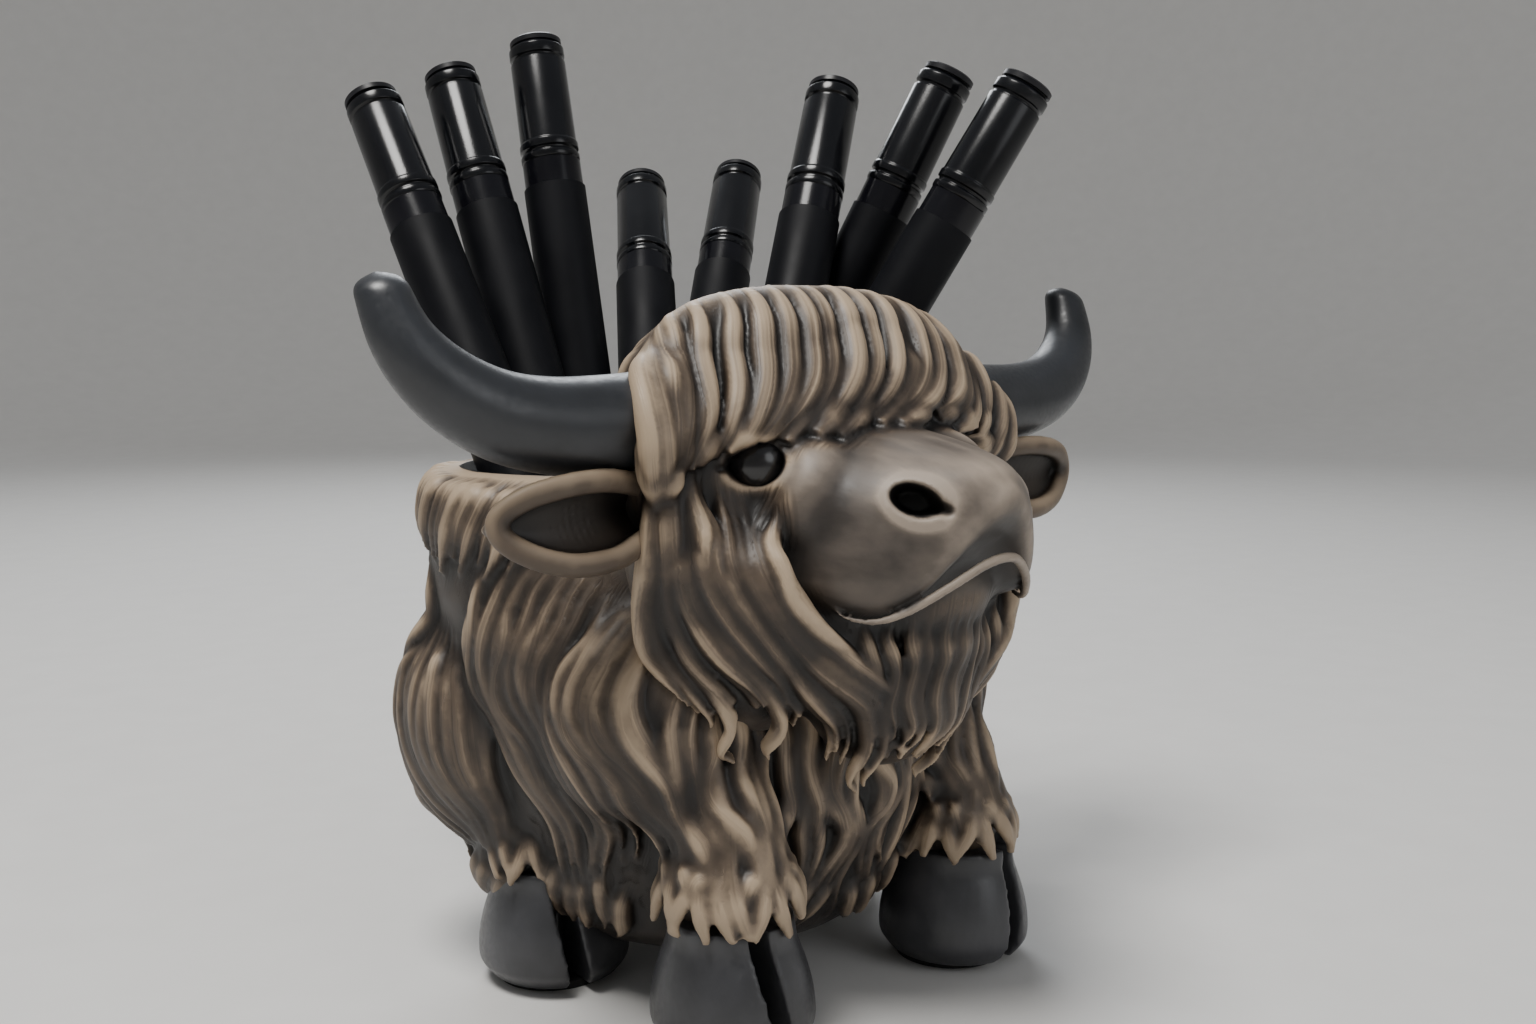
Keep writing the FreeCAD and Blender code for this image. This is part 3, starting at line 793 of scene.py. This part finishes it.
# The edge of the upper lip, from the left corner of the mouth to the middle.
LIP = ((23.6, -58.5, 83), (22.4, -62.5, 80.6), (19.6, -67, 80.1), (15.6, -71.3, 82.2), (10.3, -75.4, 86.1),
       (4.5, -78.2, 89.6), (0, -79.1, 90.6))


def lip_line(clay):
    """The crisp edge of the upper lip, from one corner of the mouth to the other."""
    count = 90
    line = curve_through([*LIP, *on_side([LIP[-2::-1]], RIGHT)[0]], count)
    normals = np.tile((0, -0.6, -0.8), (count, 1))
    girth = 0.1 + 0.85 * np.sin(np.linspace(0, np.pi, count)) ** 0.6
    clay.tube(line, normals, girth, girth, 10)


# The fringe, from beside the right horn to beside the left one. It sweeps down and to the right.
FRINGE = (
    ((-37, -24, 128.5), (-44, -32, 124), (-48.6, -39, 118), (-49.6, -42, 111), (-48.8, -41.5, 104),
     (-47.5, -40.5, 97)),
    ((-33, -24, 131.5), (-40, -32, 125.5), (-44.6, -39, 119), (-46, -42.5, 112), (-46, -43, 105),
     (-45.5, -42.5, 98.5)),
    ((-27, -24, 134.5), (-33, -30, 129), (-38, -37, 123), (-40.5, -41.5, 116), (-42.5, -43, 109),
     (-43.5, -43.5, 101)),
    ((-20, -24, 136.5), (-25, -31.5, 131), (-29.5, -37.5, 126), (-32, -42.5, 118.5),
     (-35.5, -44.5, 111.5), (-39, -44.5, 104.5)),
    ((-11, -25, 138), (-15, -32.5, 133), (-18, -39, 127.5), (-21.5, -43.5, 120), (-27, -46, 113),
     (-34, -46.5, 107.5)),
    ((-3, -26, 138.5), (-6.5, -34, 133.5), (-9, -40, 127.5), (-13, -45, 120.5),
     (-19.5, -47.5, 114.5), (-28, -48.5, 109.5)),
    ((4, -26, 138.5), (2, -34, 134), (-0.5, -40.5, 128.5), (-4.5, -45.5, 121.5),
     (-12.5, -49, 114.5), (-22, -51, 109)),
    ((12, -26, 138), (13.5, -33, 134), (12.5, -39, 129.5), (8.5, -44.5, 122), (-1.5, -50, 115.5),
     (-14.5, -53.5, 110.8)),
    ((20, -25, 136.5), (23.5, -33, 131.5), (23.5, -39, 126), (20, -43.5, 120.5), (11, -49, 115.8),
     (-3, -54, 112.8)),
    ((27, -25, 134.5), (30.5, -33, 128.5), (31, -38.5, 123), (28, -43, 118), (22, -47, 114.8),
     (12, -51.5, 113)),
    ((33, -25, 131.5), (36.5, -33, 125), (36.5, -38, 120), (34, -42, 115), (30, -45.5, 111.5),
     (24, -48.5, 110)),
    ((37, -25, 128.5), (42.5, -32, 121), (43, -37.5, 116), (41.5, -41, 110), (38, -43.5, 105.5),
     (33, -46, 103)),
    ((39, -25, 126), (45.5, -32, 120), (49, -40, 113), (48.5, -42, 106.5), (46, -42.5, 102),
     (42, -43.5, 99)),
)
# The back of the mop, which falls into the cup's front edge.
MOP_BACK = (
    ((-37, -26, 129), (-41, -21, 122), (-43, -18, 112), (-43, -17, 101)),
    ((-15, -27, 138), (-17, -20.5, 131), (-18, -18, 118), (-18, -18, 103)),
    ((15, -27, 138), (17, -20.5, 131), (18, -18, 118), (18, -18, 103)),
    ((37, -26, 129), (41, -21, 122), (43, -18, 112), (43, -17, 101)),
)
# The left cheek's hair, from behind the ear to the side of the muzzle. It falls, swings forward
# over the chest, hangs down in waves, and hooks at its tips.
CHEEK = (
    ((46, -37, 108), (47.5, -39, 99), (46.8, -37.5, 89), (44.5, -33, 81), (43.5, -32.5, 74), (42, -37, 68),
     (40.5, -40, 61), (42.5, -40, 54), (41, -40.5, 47)),
    ((45, -40, 109), (46, -40.5, 99), (45, -40, 90), (42, -38, 82), (38.5, -39.5, 74), (35.5, -43.5, 67),
     (33.5, -46, 60), (36, -45, 53), (33.5, -46.5, 45)),
    ((42, -43, 109), (43, -43.5, 99), (42, -43.5, 90), (39, -44.5, 82), (35, -47.5, 74.5),
     (29.5, -50, 67.5), (25.5, -50, 60), (27.5, -49, 52), (24.5, -49.5, 43)),
    ((37.5, -45, 107), (39, -46.5, 98), (38.5, -47.5, 89), (35, -50, 80.5), (29.5, -52.5, 73),
     (21.5, -54, 66), (16.5, -53, 57), (18.5, -51, 48), (15, -50.5, 39)),
    ((33, -47.5, 103), (34.5, -50, 95), (34, -52, 87.5), (30, -55, 79.5), (23.5, -57.5, 72.5),
     (14, -59, 65), (9, -57, 55), (11, -54, 46), (7.5, -51.5, 37)),
    ((29.5, -50.5, 99), (30.5, -53.5, 93), (30, -56.5, 86.5), (26.5, -59.5, 79.5), (19, -61.5, 73),
     (10, -62.5, 66), (4, -61, 56), (5, -57, 47), (2, -52.5, 38)),
)
# The beard under the left half of the lip.
BEARD = (
    ((19, -60, 79), (18, -60, 72), (15.5, -60.5, 64), (14, -59, 54)),
    ((12, -66, 79), (11, -65.5, 71), (9.5, -64.5, 62), (8.5, -61.5, 50)),
    ((5, -69.5, 79), (4.5, -68.5, 71), (3.5, -66.5, 61), (3, -62.5, 48)),
    ((0, -70, 79), (0, -69, 71), (0, -67, 60), (0, -63, 47)),
)


def comb_head(clay, skin):
    """All the hair of the head, from the beard and cheeks up to the mop that falls over them."""
    for sign in (LEFT, RIGHT):
        swath(clay, skin, on_side(BEARD, sign), 6, 1.7, 1.7, keep=0.5, sway=0.8, sway_length=14,
              rise=0.2)
        cheek = on_side(CHEEK, sign)
        swath(clay, skin, cheek, 14, 1.9, 2.7, keep=0.9, trim=0.36, rise=0.0, tip=0.25, sink=0.6,
              tilt=0.3 * sign)
        swath(clay, skin, cheek, 7, 2.1, 2.6, keep=0.95, length=0.92, trim=0.3, rise=0.5, sink=0.7,
              start=0.08)
    swath(clay, skin, MOP_BACK, 20, 2.4, 2.6, keep=0.3, rise=0.0)
    swath(clay, skin, FRINGE, 15, 3.0, 2.0, keep=0.6, length=0.97, start=0.6, trim=0.08, rise=0.0, tip=0.4)
    swath(clay, skin, FRINGE, 21, 2.7, 2.7, keep=0.95, trim=0.1, rise=0.0, tip=0.2, sink=0.75, swell=0.4,
          taper=0.66, tilt=0.5)


def make_head():
    """The head, with its hair combed over it and its face pressed in."""
    form = head_form()
    skin = Skin(form)
    clay = Clay()
    clay.add_mesh(form.data)
    comb_head(clay, skin)
    lip_line(clay)
    piece = clay.melt("cow_head", 0.5, 1)
    bpy.data.objects.remove(form)
    set_points(piece.data, shape_face(points_of(piece.data)))
    add_relief(piece, 90, 380)
    add_strands(piece, clay.trails)
    # Painted shade in the nostrils and round the eyes.
    add_layer(piece.data, "shade", face_shade(points_of(piece.data)))
    thin_out(piece)
    shade_smooth(piece)
    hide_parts("head_casting")
    return piece


# ---------------------------------------------------------------------------- horns, ears, hooves


def make_horn(side):
    """A horn: straight out of the head, then bent up to a blunt tip."""
    sign = SIDES[side]
    low, high = span(f"{side}_horn")
    tip_x = high[0] if sign > 0 else -low[0]
    guide = [(38, -31.4, 113.8), (50, -31.4, 113.4), (62, -31.3, 113.9), (72.3, -31, 116.3),
             (80.7, -29.6, 121.3), (86.2, -27.2, 128.4), (tip_x - 5.0, -23.2, high[2] - 0.6)]
    count = 90
    path = curve_through(guide, count)
    part = np.linspace(0, 1, count)
    blunt = np.sqrt(np.clip(1 - np.clip((part - 0.955) / 0.045, 0, 1) ** 2, 0.0004, 1))
    radius = (9.0 - 4.9 * part**1.7) * blunt
    path[:, 0] *= sign
    normals = np.tile((0, 1.0, 0), (len(path), 1))
    clay = Clay()
    clay.tube(path, normals, radius, radius, 28)
    piece = make_object(f"horn_{side}", np.vstack(clay.points), clay.faces)
    divide = piece.modifiers.new("Round", "SUBSURF")
    divide.levels = divide.render_levels = 1
    bake_modifiers(piece)
    shade_smooth(piece)
    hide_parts(f"{side}_horn")
    return piece


# The rim of the left ear.
EAR_RIM = (
    (42, -34.5, 102), (48, -36, 103.6), (56, -38, 104.7), (64, -38.2, 104.2), (70.6, -36.6, 102.4),
    (74.3, -34.8, 99.2), (73.2, -35.2, 95.8), (68, -37.2, 92.6), (61, -38.4, 90.9),
    (53, -38.2, 91.3), (47, -37, 93.2), (42, -35.5, 94.8),
)
FORWARD = (0.0, -1.0, 0.0)


def make_ear(side):
    """An ear: a cupped leaf with a thick rolled rim, deepest towards its root."""
    sign = SIDES[side]
    clay = Clay()
    half, steps = 30, 14
    rim = curve_through(EAR_RIM, 2 * half + 1)
    count = len(rim)
    clay.tube(rim, np.tile(FORWARD, (count, 1)), np.full(count, 2.2), np.full(count, 1.8), 10)
    for number in range(1, half):
        upper, lower = rim[number], rim[-1 - number]
        strip = upper + (lower - upper) * np.linspace(0, 1, steps)[:, None]
        depth = 2.6 + 4.0 * (1 - number / half) ** 1.5
        strip[:, 1] += depth * (1 - np.linspace(-1, 1, steps) ** 2) + 0.6
        clay.tube(strip, np.tile(FORWARD, (steps, 1)), np.full(steps, 1.4), np.full(steps, 1.3), 8)
    for points in clay.points:
        points[:, 0] *= sign
    if sign < 0:
        clay.faces = [face[::-1] for face in clay.faces]
    piece = clay.melt(f"ear_{side}", 0.5, 5)
    add_relief(piece, 40, 160)
    points = points_of(piece.data)
    # Painted shade deep in the ear's cup, strongest towards its root.
    rootward = 1 - smoothstep(np.abs(points[:, 0]), 50, 68)
    add_layer(piece.data, "shade", smoothstep(points[:, 1], -36.0, -32) * (0.05 + 0.45 * rootward))
    shade_smooth(piece)
    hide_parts(f"{side}_ear")
    return piece


def make_hoof(hoof):
    """A cloven hoof: two toes, a little splayed outward, with a deep curved cleft between them."""
    foot = middle(f"{hoof}_pad")
    low, high = span(f"{hoof}_hoof")
    outward = LEFT if foot[0] > 0 else RIGHT
    splay = outward * (2.0 if hoof.startswith("front") else 14.0)
    clay = Clay()
    for sign in (LEFT, RIGHT):
        clay.add(*toe_form(foot, sign, low[2], high[2] - 9, splay, outward * 16.0))
    piece = clay.melt(f"hoof_{hoof}", 0.6, 3)
    add_relief(piece, 40, 160)
    shade_smooth(piece)
    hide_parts(f"{hoof}_hoof")
    return piece


def toe_form(foot, sign, sole, top, splay, curl):
    """One toe: half of a rounded form that bulges low down, kept clear of the cleft. It turns
    outward by the splay at the sole, and further by the curl at the top, in degrees."""
    rings, sides = 16, 44
    points = []
    for part in np.linspace(0, 1, rings):
        height = sole + (top + 4 - sole) * part
        radius = 12.6 + 2.5 * math.sin(math.pi * min(1.0, 0.30 + part * 0.85)) - 1.2 * part**2
        radius -= 2.4 * (1 - smoothstep(part, -0.05, 0.16))
        turn = math.radians(splay + curl * part)
        for side in range(sides):
            angle = 2 * math.pi * side / sides
            y = radius * math.sin(angle) * 1.05 - 1.0
            gap = 0.5 + 1.5 * smoothstep(-y, 3, 14) if y < 3 else -1.0
            x = sign * max(sign * radius * math.cos(angle), gap)
            points.append((foot[0] + x * math.cos(turn) - y * math.sin(turn),
                           foot[1] + x * math.sin(turn) + y * math.cos(turn), height))
    return points, ring_faces(rings, sides)


# ---------------------------------------------------------------------------- pens


def turned(name, profile, foot, axis):
    """A turned piece from pairs of radius and height, in millimetres, up an axis from a foot."""
    sides = 64
    rings = [(radius * math.cos(angle), radius * math.sin(angle), height)
             for radius, height in profile
             for angle in np.linspace(0, 2 * math.pi, sides, endpoint=False)]
    facing = np.array(Vector((0, 0, 1)).rotation_difference(Vector(axis)).to_matrix())
    piece = make_object(name, np.array(rings) @ facing.T + foot, ring_faces(len(profile), sides))
    crisp = piece.modifiers.new("Bevel", "BEVEL")
    crisp.width = 0.12 * MM
    crisp.segments = 2
    crisp.limit_method = "ANGLE"
    bake_modifiers(piece)
    shade_smooth(piece)
    return piece


def pen_axis(pen):
    """The way a pen points, from the record's joint that lifts it."""
    joints = frame["record"]["behaviour"]["joints"]
    joint = next(joint for joint in joints if joint["name"] == f"{pen}_lift")
    return unit(np.array(joint["axis"], float))


def make_cap(pen):
    """A glossy hollow cap: two fine rings at its mouth, a slight taper, and a groove under its end.
    The profile runs down the bore, round the mouth and up the outside."""
    axis = pen_axis(pen)
    centre = middle(f"{pen}_cap")
    low, high = span(f"{pen}_cap")
    radius, bore, end = 6.4, 5.5, 5.2
    length = ((high - low)[2] - 2 * radius * math.sqrt(1 - axis[2] ** 2)) / axis[2]
    foot = centre - axis * length / 2
    profile = [
        (bore, length - 4.4), (bore, 0.0), (radius + 0.1, 0.0), (radius + 0.3, 0.5), (radius + 0.3, 1.6),
        (radius - 0.25, 1.9), (radius - 0.25, 2.5), (radius + 0.3, 2.8), (radius + 0.3, 4.3), (radius, 4.7),
        (radius - 0.15, length - 4.2), (radius - 0.65, length - 4.0), (radius - 0.65, length - 3.3),
        (radius - 0.1, length - 3.0), (radius - 0.1, length - 0.9), (radius - 0.9, length - 0.05),
        (end, length), (end, length - 0.7),
    ]
    piece = turned(f"{pen}_cap_shell", profile, foot, axis)
    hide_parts(f"{pen}_cap")
    return piece


# ---------------------------------------------------------------------------- materials


class Paint:
    """A node material, built from short calls."""

    def __init__(self, name):
        self.material = bpy.data.materials.new(name)
        self.material.use_nodes = True
        self.nodes = self.material.node_tree.nodes
        self.links = self.material.node_tree.links
        self.shader = next(node for node in self.nodes if node.type == "BSDF_PRINCIPLED")

    def node(self, kind, **settings):
        node = self.nodes.new(kind)
        for name, value in settings.items():
            setattr(node, name, value)
        return node

    def link(self, output, target):
        self.links.new(output, target)

    def math(self, operation, first, second=None):
        node = self.node("ShaderNodeMath", operation=operation)
        for socket, value in zip(node.inputs, (first, second)):
            if value is None:
                continue
            if isinstance(value, (int, float)):
                socket.default_value = value
            else:
                self.link(value, socket)
        return node.outputs[0]

    def layer(self, name):
        node = self.node("ShaderNodeAttribute", attribute_name=name)
        return node.outputs["Fac"]

    def noise(self, scale, detail=4.0, stretch=(1, 1, 1)):
        place = self.node("ShaderNodeTexCoord")
        mapping = self.node("ShaderNodeMapping")
        mapping.inputs["Scale"].default_value = stretch
        self.link(place.outputs["Object"], mapping.inputs["Vector"])
        node = self.node("ShaderNodeTexNoise")
        node.inputs["Scale"].default_value = scale
        node.inputs["Detail"].default_value = detail
        self.link(mapping.outputs[0], node.inputs["Vector"])
        return node.outputs["Fac"]

    def strand_noise(self, name, scale, detail):
        """Streaks that run along the hair: noise that only changes with a layer's value."""
        node = self.node("ShaderNodeTexNoise", noise_dimensions="1D")
        node.inputs["Scale"].default_value = scale
        node.inputs["Detail"].default_value = detail
        self.link(self.layer(name), node.inputs["W"])
        return node.outputs["Fac"]

    def blend(self, factor, first, second):
        """A value that goes from the first to the second with the factor."""
        node = self.node("ShaderNodeMix", data_type="FLOAT")
        self.link(factor, node.inputs[0])
        self.link(first, node.inputs[2])
        self.link(second, node.inputs[3])
        return node.outputs[0]

    def ramp(self, value, stops):
        node = self.node("ShaderNodeValToRGB")
        ramp = node.color_ramp
        while len(ramp.elements) < len(stops):
            ramp.elements.new(0.5)
        for element, (position, colour) in zip(ramp.elements, stops):
            element.position = position
            element.color = (*colour, 1)
        self.link(value, node.inputs[0])
        return node.outputs[0]

    def spread(self, value, low, high, to_low=0.0, to_high=1.0):
        node = self.node("ShaderNodeMapRange")
        node.inputs["From Min"].default_value = low
        node.inputs["From Max"].default_value = high
        node.inputs["To Min"].default_value = to_low
        node.inputs["To Max"].default_value = to_high
        self.link(value, node.inputs["Value"])
        return node.outputs[0]

    def mix(self, factor, first, second):
        """A colour that goes from the first to the second with the factor."""
        node = self.node("ShaderNodeMix", data_type="RGBA")
        self.link(factor, node.inputs[0])
        for socket, value in ((node.inputs[6], first), (node.inputs[7], second)):
            if isinstance(value, tuple):
                socket.default_value = (*value, 1)
            else:
                self.link(value, socket)
        return node.outputs[2]

    def bump(self, height, distance, strength=1.0):
        node = self.node("ShaderNodeBump")
        node.inputs["Strength"].default_value = strength
        node.inputs["Distance"].default_value = distance
        self.link(height, node.inputs["Height"])
        self.link(node.outputs[0], self.shader.inputs["Normal"])

    def set(self, **values):
        for name, value in values.items():
            self.shader.inputs[name.replace("_", " ")].default_value = value


def coat_paint_and_painted_light():
    """Brown hair: a dark wash in the grooves and pale paint dry-brushed on the crests, both pushed further
    into painted shade in the grooves and painted light on the crests; painted light on whatever faces up
    and painted shade on what faces down and in broad hollows; painted shade in the nostrils, round the
    eyes, in the ears and low on the legs; fine streaks along every lock, and a greyer, smoother face."""
    paint = Paint("coat_paint_and_painted_light")
    strands = paint.strand_noise("strand", 1.3, 3)
    patches = paint.noise(34, 3)
    brushed = paint.noise(210, 5, (1, 0.22, 1))
    bare = paint.layer("bare")
    # Fine relief: the dark wash and pale dry-brushing, pushed further into painted shade in the grooves and
    # painted light on the crests.
    relief = paint.spread(paint.layer("relief"), -0.85, 0.85)
    # Broad relief: painted shade in broad hollows and under overhangs, painted light on broad swells.
    hollow = paint.spread(paint.layer("hollow"), -3.0, 1.6)
    strands = paint.blend(paint.layer("seam"), strands, brushed)
    streaks = paint.blend(bare, strands, brushed)
    level = paint.math("MULTIPLY", relief, 0.80)
    # The broad relief, painted light on whatever faces up and painted shade on what faces down, the streaks
    # and the patches.
    for value, middle_value, share in ((hollow, 0.0, 0.20), (paint.layer("upward"), -0.3, 0.17),
                                       (streaks, 0.5, 0.32), (patches, 0.5, 0.26)):
        part = paint.math("MULTIPLY", paint.math("SUBTRACT", value, middle_value), share)
        level = paint.math("ADD", level, part)
    # Both ramps run from near-black painted shade in the grooves to pale dry-brushed crests that also carry
    # painted light.
    hair = paint.ramp(level, (
        (0.22, (0.0035, 0.0028, 0.0024)),
        (0.44, (0.0150, 0.0107, 0.0080)),
        (0.60, (0.0400, 0.0285, 0.0203)),
        (0.76, (0.1120, 0.0820, 0.0570)),
        (1.00, (0.4400, 0.3350, 0.2300)),
    ))
    skin = paint.ramp(level, (
        (0.22, (0.0080, 0.0067, 0.0060)),
        (0.46, (0.0250, 0.0203, 0.0172)),
        (0.60, (0.0480, 0.0395, 0.0335)),
        (0.78, (0.1250, 0.1020, 0.0830)),
        (1.00, (0.3600, 0.2950, 0.2350)),
    ))
    colour = paint.mix(bare, hair, skin)
    # Painted shade, nearly black, mixed in by the shade layer: in the nostrils, round the eyes, in the
    # ears' hollows and low on the legs.
    colour = paint.mix(paint.layer("shade"), colour, (0.007, 0.006, 0.006))
    paint.link(colour, paint.shader.inputs["Base Color"])
    paint.link(paint.spread(streaks, 0.3, 0.7, 0.42, 0.6), paint.shader.inputs["Roughness"])
    paint.bump(streaks, 0.0002, 0.6)
    return paint.material


def charcoal_paint(name, dark, pale):
    """Satin charcoal for the horns and hooves, brushed a little paler in patches."""
    paint = Paint(name)
    patches = paint.noise(45, 4)
    grain = paint.noise(900, 3)
    colour = paint.mix(paint.spread(patches, 0.35, 0.7), dark, pale)
    paint.link(colour, paint.shader.inputs["Base Color"])
    paint.link(paint.spread(grain, 0.3, 0.7, 0.32, 0.46), paint.shader.inputs["Roughness"])
    paint.set(Specular_IOR_Level=0.65)
    paint.bump(grain, 0.00008, 0.35)
    return paint.material


def plastic(name, colour, rough, grain_depth=0.00003, sheen=0.3):
    """Moulded black plastic with a faint grain. Sheen is how strongly it mirrors."""
    paint = Paint(name)
    paint.set(Specular_IOR_Level=sheen)
    grain = paint.noise(2200, 2)
    wear = paint.noise(70, 4)
    pale = tuple(channel * 1.6 + 0.002 for channel in colour)
    worn = paint.mix(paint.spread(wear, 0.4, 0.75, 0, 0.6), colour, pale)
    paint.link(worn, paint.shader.inputs["Base Color"])
    paint.link(paint.spread(wear, 0.3, 0.7, rough * 0.85, rough * 1.2), paint.shader.inputs["Roughness"])
    paint.bump(grain, grain_depth, 0.4)
    return paint.material


def eye_paint():
    """Lacquered black, a little uneven."""
    paint = Paint("eye_gloss")
    paint.set(Roughness=0.24, Coat_Weight=0.35, Coat_Roughness=0.12)
    patches = paint.noise(120, 2)
    black = paint.mix(patches, (0.004, 0.004, 0.005), (0.012, 0.010, 0.010))
    paint.link(black, paint.shader.inputs["Base Color"])
    return paint.material


def paint_all(piece, material):
    piece.data.materials.clear()
    piece.data.materials.append(material)


def paint_node(node, material):
    """Give a carried-over CAD node a better material."""
    for slot in frame["nodes"][node].material_slots:
        slot.material = material


# ---------------------------------------------------------------------------- the set


def make_floor():
    """A pale paper floor that curves up into a wall all round."""
    flat, bend, wall = 1300.0, 700.0, 900.0
    profile = [(flat * part, 0.0) for part in (0.0005, 0.5, 1.0)]
    for turn in np.linspace(0, math.pi / 2, 24)[1:]:
        profile.append((flat + bend * math.sin(turn), bend * (1 - math.cos(turn))))
    profile.append((flat + bend, bend + wall))
    sides = 96
    points = [(radius * math.cos(angle), radius * math.sin(angle), height)
              for radius, height in profile
              for angle in np.linspace(0, 2 * math.pi, sides, endpoint=False)]
    faces = ring_faces(len(profile), sides)
    faces.pop(1)
    floor = make_object("floor", points, [face[::-1] for face in faces])
    shade_smooth(floor)
    paint = Paint("floor_paper")
    grain = paint.noise(60, 3)
    paper = paint.mix(grain, (0.70, 0.69, 0.67), (0.76, 0.75, 0.73))
    paint.link(paper, paint.shader.inputs["Base Color"])
    paint.set(Roughness=0.9)
    paint_all(floor, paint.material)


def area_light(name, place, aim, size, power, colour=(1, 1, 1)):
    data = bpy.data.lights.new(name, "AREA")
    data.shape = "DISK"
    data.size = size
    data.energy = power
    data.color = colour
    light = bpy.data.objects.new(name, data)
    bpy.context.scene.collection.objects.link(light)
    light.location = place
    light.rotation_euler = (Vector(aim) - Vector(place)).to_track_quat("-Z", "Y").to_euler()


def make_lights():
    area_light("key", (-0.35, -0.05, 1.0), (0, 0, 0.08), 0.4, 10.0, (1, 0.98, 0.95))
    area_light("fill", (0.2, -0.95, 0.5), (0, 0, 0.08), 0.6, 1.5, (0.95, 0.97, 1))
    area_light("back", (0.5, 0.7, 0.7), (0, 0, 0.1), 0.5, 4.0, (0.92, 0.96, 1))
    world = bpy.data.worlds.new("studio")
    world.use_nodes = True
    world.node_tree.nodes["Background"].inputs[0].default_value = (0.92, 0.95, 1, 1)
    world.node_tree.nodes["Background"].inputs[1].default_value = 0.27
    bpy.context.scene.world = world


CAMERA_PLACE = (-0.2160, -0.2521, 0.1310)
CAMERA_AZIMUTH, CAMERA_PITCH = -42.77, 6.77


def make_camera():
    azimuth, pitch = math.radians(CAMERA_AZIMUTH), math.radians(CAMERA_PITCH)
    back = Vector((math.sin(azimuth) * math.cos(pitch), -math.cos(azimuth) * math.cos(pitch),
                   math.sin(pitch)))
    data = bpy.data.cameras.new("camera")
    data.lens = 37.5
    data.sensor_width = 36
    data.clip_start, data.clip_end = 0.01, 20
    data.dof.use_dof = False
    camera = bpy.data.objects.new("camera", data)
    bpy.context.scene.collection.objects.link(camera)
    camera.location = CAMERA_PLACE
    camera.rotation_euler = (-back).to_track_quat("-Z", "Y").to_euler()
    bpy.context.scene.camera = camera


# ---------------------------------------------------------------------------- the whole scene


def main():
    make_camera()
    make_floor()
    make_lights()
    coat = coat_paint_and_painted_light()
    horn_paint = charcoal_paint("horn_charcoal", (0.010, 0.0115, 0.0140), (0.028, 0.031, 0.037))
    hoof_paint = charcoal_paint("hoof_charcoal", (0.020, 0.0203, 0.0225), (0.062, 0.063, 0.070))
    sculpted = {make_body(): (coat, "coat"), make_head(): (coat, "coat")}
    for side in SIDES:
        sculpted[make_horn(side)] = (horn_paint, "horn")
        sculpted[make_ear(side)] = (coat, "coat")
    for hoof in HOOVES:
        sculpted[make_hoof(hoof)] = (hoof_paint, "hoof")
    for piece, (material, slot) in sculpted.items():
        paint_all(piece, material)
        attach(piece, HOLDER)
    gloss_eye = eye_paint()
    rubber = plastic("pad_rubber", (0.02, 0.02, 0.02), 0.8, 0.0001)
    for side in SIDES:
        paint_node(f"{side}_eye", gloss_eye)
    for hoof in HOOVES:
        paint_node(f"{hoof}_pad", rubber)
    pen_paints = {
        "barrel": plastic("barrel_satin", (0.003, 0.0033, 0.0048), 0.5, sheen=0.16),
        "section": plastic("section_gloss", (0.004, 0.004, 0.006), 0.2),
        "cap": plastic("cap_gloss", (0.0025, 0.0028, 0.004), 0.2, sheen=0.4),
        "cap_plug": plastic("plug_satin", (0.010, 0.010, 0.012), 0.35),
        "ink_core": plastic("ink_felt", (0.01, 0.01, 0.014), 0.85, 0.0002),
    }
    for pen in PENS:
        for part, material in pen_paints.items():
            paint_node(f"{pen}_{part}", material)
        shell = make_cap(pen)
        paint_all(shell, pen_paints["cap"])
        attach(shell, f"{pen}_cap")


main()
